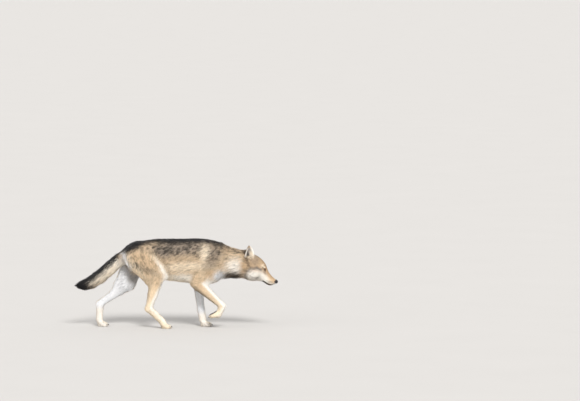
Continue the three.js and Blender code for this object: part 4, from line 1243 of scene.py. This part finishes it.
def coat_piece(number, tufts, colours, material):
    """The tufts of one coat piece as a mesh of thin blades."""
    own = np.flatnonzero(tufts.roots.piece == number)
    blade = LONG_BLADE if PIECES[PIECE_NAMES[number]][2] else SHORT_BLADE
    station = np.array([corner[0] for corner in blade])
    side = np.array([corner[1] for corner in blade])
    wide = np.array([corner[2] for corner in blade])
    lines = tufts.lines[own]
    count, size = len(own), len(blade)
    outward = tufts.roots.normals[own][:, None]
    across = unit(np.cross(np.gradient(lines, axis=1), outward))
    roll = random.uniform(-0.6, 0.6, count)[:, None, None]
    across = across * np.cos(roll) + outward * np.sin(roll)
    half = 0.5 * tufts.roots.width[own] * random.uniform(0.7, 1.3, count)
    offset = across[:, station] * (half[:, None] * side * wide)[..., None]
    corners = lines[:, station] + offset
    quads = [[0, 1, 3], [0, 3, 2]] if size == 5 else [[0, 1, 3], [0, 3, 2], [2, 3, 5], [2, 5, 4]]
    pattern = np.array([*quads, [size - 3, size - 2, size - 1]])
    faces = pattern[None] + size * np.arange(count)[:, None, None]
    facing = np.cross(corners[:, 1] - corners[:, 0], lines[:, 2] - lines[:, 0])
    inward = (facing * outward[:, 0]).sum(1) < 0
    faces[inward] = faces[inward][:, :, ::-1]
    faces = faces.reshape(-1, 3)
    normals = unit(outward + 0.4 * across[:, station] * side[:, None])
    shade = np.stack([c[own] for c in colours], 1)[:, station]
    u, v = chart(tufts.roots.places[own], number)
    u = np.clip(u, 0, 0.996)[:, None] + STATIONS[station] * BAKE_PATCH
    v = np.clip(v, 0, 0.996)[:, None] + (0.5 + 0.5 * side) * BAKE_PATCH
    made = mesh_object(PIECE_NAMES[number], corners.reshape(-1, 3), faces, material)
    put_vectors(made.data, "coat", shade.reshape(-1, 3))
    layer = made.data.uv_layers.new(name="OFBake")
    uv = np.stack([u, v], 2).reshape(-1, 2)[faces.ravel()]
    layer.data.foreach_set("uv", uv.astype(np.float32).ravel())
    made.data.normals_split_custom_set_from_vertices(normals.reshape(-1, 3).astype(np.float32))
    return made


# ---- Eyes, nose, claws, pads and whiskers ----
PUPIL, IRIS = 2.3, 6.0  # radii in millimetres
AMBER, HAZEL, SCLERA = linear(150, 98, 42), linear(66, 42, 20), linear(84, 66, 56)


def eyeball(side):
    """An eyeball with a bulged cornea. Its colours run from the pupil out to the dark edge of the iris."""
    centre, gaze, long, high = eye_frame(side)
    columns = 96
    radius = EYE_RADIUS / MM - 0.1
    tilt = np.concatenate([np.linspace(0.002, 0.75, 44), np.linspace(0.8, math.pi - 0.002, 22)])
    rows = len(tilt)
    tilt, turn = np.meshgrid(tilt, circle(columns), indexing="ij")
    flat = radius * np.sin(tilt)
    front = tilt < math.pi / 2
    raised = radius + 0.9 * (1 - np.clip(flat / 6.8, 0, 1) ** 2) ** 1.5 * front
    way = np.cos(tilt)[..., None] * gaze
    way = way + np.sin(tilt)[..., None] * (np.cos(turn)[..., None] * long + np.sin(turn)[..., None] * high)
    places = (centre + way * (raised * MM)[..., None]).reshape(-1, 3)
    fibre = np.convolve(random.random(columns + 2), [0.25, 0.5, 0.25], "valid")[None, :] * np.ones_like(tilt)
    flat, fibre, front = flat.ravel(), fibre.ravel(), front.ravel()
    paint = Paint(SCLERA, flat)
    paint.over(HAZEL, 1 - step(flat, IRIS, IRIS + 0.5))
    paint.over(AMBER, bump(flat, 3.9, 1.5) * (0.55 + 0.7 * fibre) * front)
    paint.over(BLACK * 0.5, bump(flat, IRIS + 0.3, 0.5))
    paint.over(BLACK * 0.2, (1 - step(flat, PUPIL - 0.15, PUPIL + 0.15)) * front)
    return places, grid_faces(rows, columns), paint.colour


def nose_pad():
    """The pad of the nose: its solid rounded off, with comma-shaped nostrils and a groove down its middle."""
    places, faces = voxel_mesh(*clean(*arrays(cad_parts["nose"].data)), 1.15 * MM)
    near = Neighbours(faces, len(places))
    places = near.smooth(places, 14, 0.6)
    normals = unit(near.smooth(normals_of(places, faces), 4))
    places = places + 0.9 * MM * normals
    back, side, up = head_coordinates(places).T / MM
    out = np.abs(side)
    hole = np.exp(-(((back + 2) / 7) ** 2 + ((out - 8.8) / 3.6) ** 2 + ((up + 11.5) / 3.8) ** 2) ** 1.5)
    slit = line(out, up, [(10, -12), (15, -14), (20, -14.5), (25, -12)], 1.3) * (1 - step(back, 9, 14))
    middle = bump(side, 0, 1.1) * step(-up, 6, 12) * (1 - step(back, 3, 8))
    deep = 8 * hole + 2.6 * slit * (1 - hole)
    inward = from_head([1, 0, -0.12]) - from_head([0, 0, 0])
    places = places + MM * deep[:, None] * unit(inward) - (1.3 * MM * middle)[:, None] * normals
    places = places + 1.1 * MM * (bump(out, 9, 5) * bump(up, -4, 4))[:, None] * normals
    paint = Paint(linear(38, 35, 36), places)
    # Painted light: the pad's upward-facing top made lighter, as if lit from above.
    paint.over(linear(58, 52, 52), 0.5 * step(normals[:, 2], 0.2, 0.9))
    # Painted shade: the nostrils, their slits and the middle groove made near black in their hollows.
    paint.over(linear(6, 5, 5), np.clip(1.3 * hole + 0.7 * slit + 0.5 * middle, 0, 1))
    return places, faces, paint.colour


def paw_place(paw, x, y, z):
    """A place in a paw's own frame, ahead of its knuckle joint, sideways and up, in the body's frame."""
    knuckle, _, bend, _ = PAWS[paw]
    c, s = math.cos(bend), math.sin(bend)
    x, y, z = (np.asarray(k, float) for k in (x, y, z))
    return (np.array(knuckle) + np.stack([c * x + s * z, y + 0 * x, c * z - s * x], -1)) * MM


CLAW_LENGTH, CLAW_RADIUS = 16.5, 3.3


def claws(paw):
    """The four curved claws of one paw, thicker above than wide, hooked down to a blunt worn tip."""
    _, drop, _, size = PAWS[paw]
    rows, columns = 14, 16
    parts, shades = [], []
    for across, reach in TOES:
        t = np.linspace(0, 1, rows)[:, None]
        turn = circle(columns)[None]
        bend = 0.30 + 0.55 * t
        x = reach * size - 6 + CLAW_LENGTH * t * (1 - 0.10 * t)
        z = 17 - drop - CLAW_LENGTH * 0.5 * t * bend
        girth = CLAW_RADIUS * np.sqrt(np.maximum(1 - t**1.7, 0.0)) + 0.02
        lean = np.sin(turn) * girth * 1.12
        places = paw_place(paw, x + lean * 0.35 * t, across * size + np.cos(turn) * girth * 0.72, z + lean)
        parts.append((places.reshape(-1, 3), grid_faces(rows, columns)))
        out = np.repeat(t[:, 0], columns)
        paint = Paint(linear(40, 33, 28), out)
        paint.over(linear(122, 104, 84), 0.55 * out**2)
        shades.append(paint.colour)
    return *joined(parts), np.concatenate(shades)


def ball(rows, columns):
    """Directions from the middle of a ball to a grid of places on it."""
    tilt, turn = np.meshgrid(np.linspace(0.01, math.pi - 0.01, rows), circle(columns), indexing="ij")
    ring = np.sin(tilt)
    return np.stack([ring * np.cos(turn), ring * np.sin(turn), np.cos(tilt)], 2).reshape(-1, 3)


def pads(paw):
    """The bare pads of one sole: four for the toes and a three-lobed one behind them."""
    _, drop, bend, size = PAWS[paw]
    lift = 3.5 if bend == 0 else 4.6
    rows, columns = 18, 28
    way = ball(rows, columns)
    parts = []
    spots = [((reach - 16, across), (11.5, 8.2, 6)) for across, reach in TOES]
    spots += [((16, 0), (15, 13, 7)), ((9, -11), (10, 9, 6.5)), ((9, 11), (10, 9, 6.5))]
    for (ahead, across), (length, width, height) in spots:
        place = way * [length * size, width * size, height]
        tapered = place[:, 1] * (1 - 0.25 * place[:, 0] / (length * size))
        low = place[:, 2] - drop + lift
        made = paw_place(paw, place[:, 0] + ahead * size, tapered + across * size, low)
        made[:, 2] = np.maximum(made[:, 2], 0.0)
        parts.append((made, grid_faces(rows, columns)))
    places, faces = joined(parts)
    return places, faces, np.tile(linear(52, 44, 42), (len(places), 1))


WHISKER_RADIUS, WHISKER_TIP = 0.3, 0.05
WHISKER_STATIONS, WHISKER_SIDES = 9, 5
WHISKERS, WHISKERS_IN_ROW, WHISKER_GAP = 30, 6, 7.0  # on each side of the head


def whiskers():
    """Stiff dark and pale hairs that sweep back from the muzzle, brows and cheeks."""
    parts, shades = [], []
    t = np.linspace(0, 1, WHISKER_STATIONS)[:, None]
    turn = circle(WHISKER_SIDES)
    ring = np.stack([0 * turn, np.cos(turn), np.sin(turn)], 1)
    ring = ring * (WHISKER_RADIUS * (1 - t**1.5) + WHISKER_TIP)[..., None]
    for side in (1, -1):
        for k in range(WHISKERS):
            row, place = divmod(k, WHISKERS_IN_ROW)
            if row < 4:
                back = 22 + WHISKER_GAP * place + random.normal(0, 1)
                up = -26 - 6.0 * row - 0.35 * WHISKER_GAP * place
                length, spread = random.uniform(26, 46), random.uniform(0.55, 0.8)
            elif place < 3:
                back, up, length, spread = 140 + 8 * place, 30, random.uniform(22, 30), 0.6
            else:
                back, up, length, spread = 118 + 6 * place, -46, random.uniform(22, 30), 0.8
            start = surface_at(side, back, up)
            way = np.array([1.0, spread * side, random.normal(-0.12, 0.12) + (0.7 if up > 0 else 0)])
            sag = np.array([0.35, -0.15 * side, -0.25])
            path = start + length * (unit(way) * t + sag * t**2 * 0.5)
            places = from_head((path[:, None] + ring).reshape(-1, 3) * MM)
            parts.append((places, grid_faces(WHISKER_STATIONS, WHISKER_SIDES)))
            dark = random.random() < 0.6
            shades.append(np.tile(linear(30, 26, 26) if dark else WHITE, (len(places), 1)))
    return *joined(parts), np.concatenate(shades)


def surface_at(side, back, up):
    """The place on the skin beside the head's middle plane, in the head's frame, in millimetres."""
    start, way = from_head(np.array([back, side * 90, up]) * MM), np.array([0, -side, 0])
    hit = HEAD_TREE.ray_cast(Vector(start), Vector(way))[0]
    return head_coordinates(np.array([hit]))[0] / MM if hit else np.array([back, side * 20, up])


# ---- Materials ----
class Nodes:
    """A material's node tree, with short ways to add to it."""

    def __init__(self, name, **constants):
        self.material = bpy.data.materials.new(name)
        self.material.use_nodes = True
        self.tree = self.material.node_tree
        self.shader = self.tree.nodes["Principled BSDF"]
        for key, value in constants.items():
            self.shader.inputs[key.replace("_", " ")].default_value = value

    def add(self, kind, sources=(), **settings):
        """A node, with its sockets linked to other nodes' outputs or set to numbers."""
        node = self.tree.nodes.new("ShaderNode" + kind)
        for key, value in settings.items():
            setattr(node, key, value)
        for key, value in dict(sources).items():
            if isinstance(value, bpy.types.NodeSocket):
                self.tree.links.new(value, node.inputs[key])
            else:
                node.inputs[key].default_value = value
        return node

    def place(self, stretch=(1, 1, 1)):
        """The place in the object's own space, stretched."""
        place = self.add("TexCoord").outputs["Object"]
        return self.add("Mapping", {"Vector": place, "Scale": stretch}).outputs["Vector"]

    def noise(self, scale, stretch=(1, 1, 1), detail=3.0):
        """Noise with that many features in a metre."""
        sources = {"Vector": self.place(stretch), "Scale": scale, "Detail": detail}
        return self.add("TexNoise", sources).outputs["Fac"]

    def cells(self, scale, feature="F1"):
        """Cells with that many in a metre: the distance to their middle or to their edge."""
        sources = {"Vector": self.place(), "Scale": scale}
        return self.add("TexVoronoi", sources, feature=feature).outputs["Distance"]

    def spread(self, value, low, high, start=0.3, end=0.7):
        """A value whose range is moved to lie between low and high."""
        sources = {"Value": value, "From Min": start, "From Max": end, "To Min": low, "To Max": high}
        return self.add("MapRange", sources).outputs["Result"]

    def colour(self, shade, colour=None):
        """The colour, or else the coat's colour kept at each vertex, made darker and lighter by a shade."""
        if colour is None:
            colour = self.add("Attribute", attribute_name="coat").outputs["Vector"]
        shaded = self.add("VectorMath", {0: colour, "Scale": shade}, operation="SCALE").outputs["Vector"]
        self.tree.links.new(shaded, self.shader.inputs["Base Color"])

    def rough(self, roughness):
        self.tree.links.new(roughness, self.shader.inputs["Roughness"])

    def bumps(self, height, depth):
        made = self.add("Bump", {"Height": height, "Distance": depth, "Strength": 1.0})
        self.tree.links.new(made.outputs["Normal"], self.shader.inputs["Normal"])


def fur_material():
    m = Nodes("wolf_fur", Roughness=0.62, Specular_IOR_Level=0.28, Sheen_Weight=0.12, Sheen_Roughness=0.5)
    m.colour(m.spread(m.noise(420), 0.86, 1.14))
    m.rough(m.spread(m.noise(150), 0.52, 0.72))
    return m.material


def skin_material():
    m = Nodes("wolf_skin", Roughness=0.75, Specular_IOR_Level=0.25)
    streaks = m.noise(900, (0.35, 1, 1), 4)
    m.colour(m.spread(streaks, 0.86, 1.1))
    m.rough(m.spread(m.noise(300), 0.6, 0.85))
    m.bumps(streaks, 0.7 * MM)
    return m.material


def eye_material():
    m = Nodes("wolf_eye", Roughness=0.15, Specular_IOR_Level=0.1, Coat_Weight=0.5, Coat_Roughness=0.02)
    m.colour(m.spread(m.noise(1800), 0.8, 1.2))
    m.rough(m.spread(m.noise(600), 0.1, 0.2))
    return m.material


def nose_material():
    m = Nodes("wolf_nose", Roughness=0.45, Specular_IOR_Level=0.4, Coat_Weight=0.12, Coat_Roughness=0.3)
    pebble = m.spread(m.cells(750, "DISTANCE_TO_EDGE"), 0, 1, 0.0, 0.35)
    m.colour(m.spread(pebble, 0.7, 1.15, 0, 1))
    m.rough(m.spread(m.noise(500), 0.38, 0.55))
    m.bumps(pebble, 0.12 * MM)
    return m.material


def pad_material():
    m = Nodes("wolf_pad", Roughness=0.7, Specular_IOR_Level=0.35)
    m.colour(m.spread(m.noise(220), 0.7, 1.25))
    m.rough(m.spread(m.noise(400), 0.6, 0.8))
    m.bumps(m.cells(520), 0.4 * MM)
    return m.material


def claw_material():
    m = Nodes("wolf_claw", Roughness=0.4, Specular_IOR_Level=0.5)
    grain = m.noise(900, (0.15, 1, 1))
    m.colour(m.spread(grain, 0.75, 1.3))
    m.rough(m.spread(grain, 0.32, 0.5))
    m.bumps(grain, 0.15 * MM)
    return m.material


def floor_material():
    m = Nodes("studio_floor", Roughness=0.85, Specular_IOR_Level=0.2)
    m.colour(m.spread(m.noise(1.5), 0.985, 1.0), linear(203, 200, 196))
    return m.material


# ---- Camera, floor and light ----
LOOK_AT = Vector((0.910, 0, 1.020))
CAMERA_DISTANCE, CAMERA_RISE, LENS = 30.0, math.radians(4.5), 232.8


def aimed(thing, place, way):
    """Puts a camera or lamp at a place, looking along a direction."""
    made = bpy.data.objects.new(thing.name, thing)
    bpy.context.scene.collection.objects.link(made)
    made.location = place
    made.rotation_mode = "QUATERNION"
    made.rotation_quaternion = Vector(way).to_track_quat("-Z", "Y")
    return made


def add_camera():
    camera = bpy.data.cameras.new("camera")
    camera.lens = LENS
    camera.clip_end = 900
    away = Vector((0, -math.cos(CAMERA_RISE), math.sin(CAMERA_RISE)))
    bpy.context.scene.camera = aimed(camera, LOOK_AT + away * CAMERA_DISTANCE, -away)


def add_floor():
    far = 400.0
    corners = np.array([[-far, -far, 0], [far, -far, 0], [far, far, 0], [-far, far, 0]])
    floor = mesh_object("floor", corners, np.array([[0, 1, 2], [0, 2, 3]]), floor_material())


def add_lights():
    """A wide soft key from ahead and above on the camera's side, a weak fill, and a pale room."""
    for name, way, energy, angle in (
        ("key", (-0.2, 0.78, -0.66), 3.0, 20),
        ("fill", (0.8, 0.5, -0.5), 0.5, 50),
    ):
        lamp = bpy.data.lights.new(name, "SUN")
        lamp.energy = energy
        lamp.angle = math.radians(angle)
        aimed(lamp, (0, 0, 5), way)
    world = bpy.data.worlds.new("room")
    world.use_nodes = True
    background = world.node_tree.nodes["Background"]
    background.inputs["Color"].default_value = (*linear(228, 228, 229), 1)
    background.inputs["Strength"].default_value = 0.9
    bpy.context.scene.world = world
    bpy.context.scene.view_settings.view_transform = "Standard"


# ---- The whole animal ----
def placed(piece, slot, *nodes):
    """Puts a piece of the animal under the body's root and hides the solids that it stands for. The slot is
    not used.
    """
    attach(piece, "root")
    if nodes:
        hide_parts(*nodes)


def coloured_piece(name, places, faces, colour, material, slot, *nodes):
    piece = mesh_object(name, places, faces, material)
    put_vectors(piece.data, "coat", colour)
    placed(piece, slot, *nodes)
    return piece


def fewer_triangles(piece, thinned, most):
    """The arrays of a mesh thinned out to a number of triangles, mostly at the vertices to be thinned."""
    group = piece.vertex_groups.new(name="thin")
    group.add(np.flatnonzero(~thinned).tolist(), 0.1, "REPLACE")
    group.add(np.flatnonzero(thinned).tolist(), 1.0, "REPLACE")
    thin = piece.modifiers.new("thin", "DECIMATE")
    thin.ratio = most / len(piece.data.polygons)
    thin.vertex_group = "thin"
    thin.vertex_group_factor = 10
    return applied(piece)


def add_skin(skin):
    """The skin with its lids, coloured as the coat is but darker, partly a darker undercoat and partly
    painted shade under the hair, and bare and dark where no hair grows.
    """
    colour, dark = markings(skin.places, skin.weights, skin.normals)
    # Painted shade under the coat: the skin darker the longer its hair, and darker where the coat has black
    # tips.
    shade = (0.45 + 0.5 * shortness(skin.length)) * (1 - 0.45 * dark)
    bare = 0.9 * (1 - haired(skin))
    colour = colour * shade[:, None]
    colour = colour + (HIDE - colour) * bare[:, None]
    draft = mesh_object("draft", skin.places, skin.triangles)
    face = (skin.weights["head"] > 0.5) & (head_coordinates(skin.places)[:, 0] < (FACE_BACK + 5) * MM)
    places, triangles = fewer_triangles(draft, ~face, SKIN_TRIANGLES)
    found = Near(skin.places, 3 * MM, 4).find(places)
    parts, shades = [(sunk(sunk(places, 1), -1), triangles)], [colour[found]]
    for side in (1, -1):
        lid_places, lid_faces, rim = lids(side, skin.places, skin.triangles)
        parts.append((lid_places, lid_faces))
        shades.append(lid_colours(side, lid_places, rim))
    flesh = [n for n in FLESH if n != "nose"]
    coloured_piece("skin", *joined(parts), np.concatenate(shades), materials["skin"], "coat", *flesh)


def lid_colours(side, places, rim):
    """The dark bare rim of the lids, and the face's own colours round it."""
    count = len(places)
    weights = {"limb": np.zeros((count, len(LIMB_NAMES))), "head": np.ones(count), "ear": np.zeros(count)}
    fur, _ = markings(places, weights, np.tile(eye_frame(side)[1], (count, 1)))
    edge = HIDE * 0.6
    return edge + (fur * 0.85 - edge) * step(rim, 0.2, 0.48)[:, None]


materials = {
    "fur": fur_material(),
    "skin": skin_material(),
    "eye": eye_material(),
    "nose": nose_material(),
    "pad": pad_material(),
    "claw": claw_material(),
}
add_camera()
add_floor()
add_lights()
skin = Skin()
HEAD_TREE = tree_of(skin.places, skin.triangles[skin.weights["head"][skin.triangles[:, 0]] > 0.5])
add_skin(skin)
tufts = Tufts(skin, Roots(skin))
colours = tuft_colours(tufts)
for number in range(len(PIECES)):
    placed(coat_piece(number, tufts, colours, materials["fur"]), "coat")
for side, name in ((1, "left"), (-1, "right")):
    coloured_piece("eyeball_" + name, *eyeball(side), materials["eye"], "eye", "eye_" + name)
coloured_piece("nose_pad", *nose_pad(), materials["nose"], "nose", "nose")
coloured_piece("whiskers", *whiskers(), materials["fur"], "coat")
for paw in PAWS:
    nodes = [f"claw_{paw}_{k}" for k in range(1, 5)]
    coloured_piece("claws_" + paw, *claws(paw), materials["claw"], "claw", *nodes)
    coloured_piece("pads_" + paw, *pads(paw), materials["pad"], "nose")
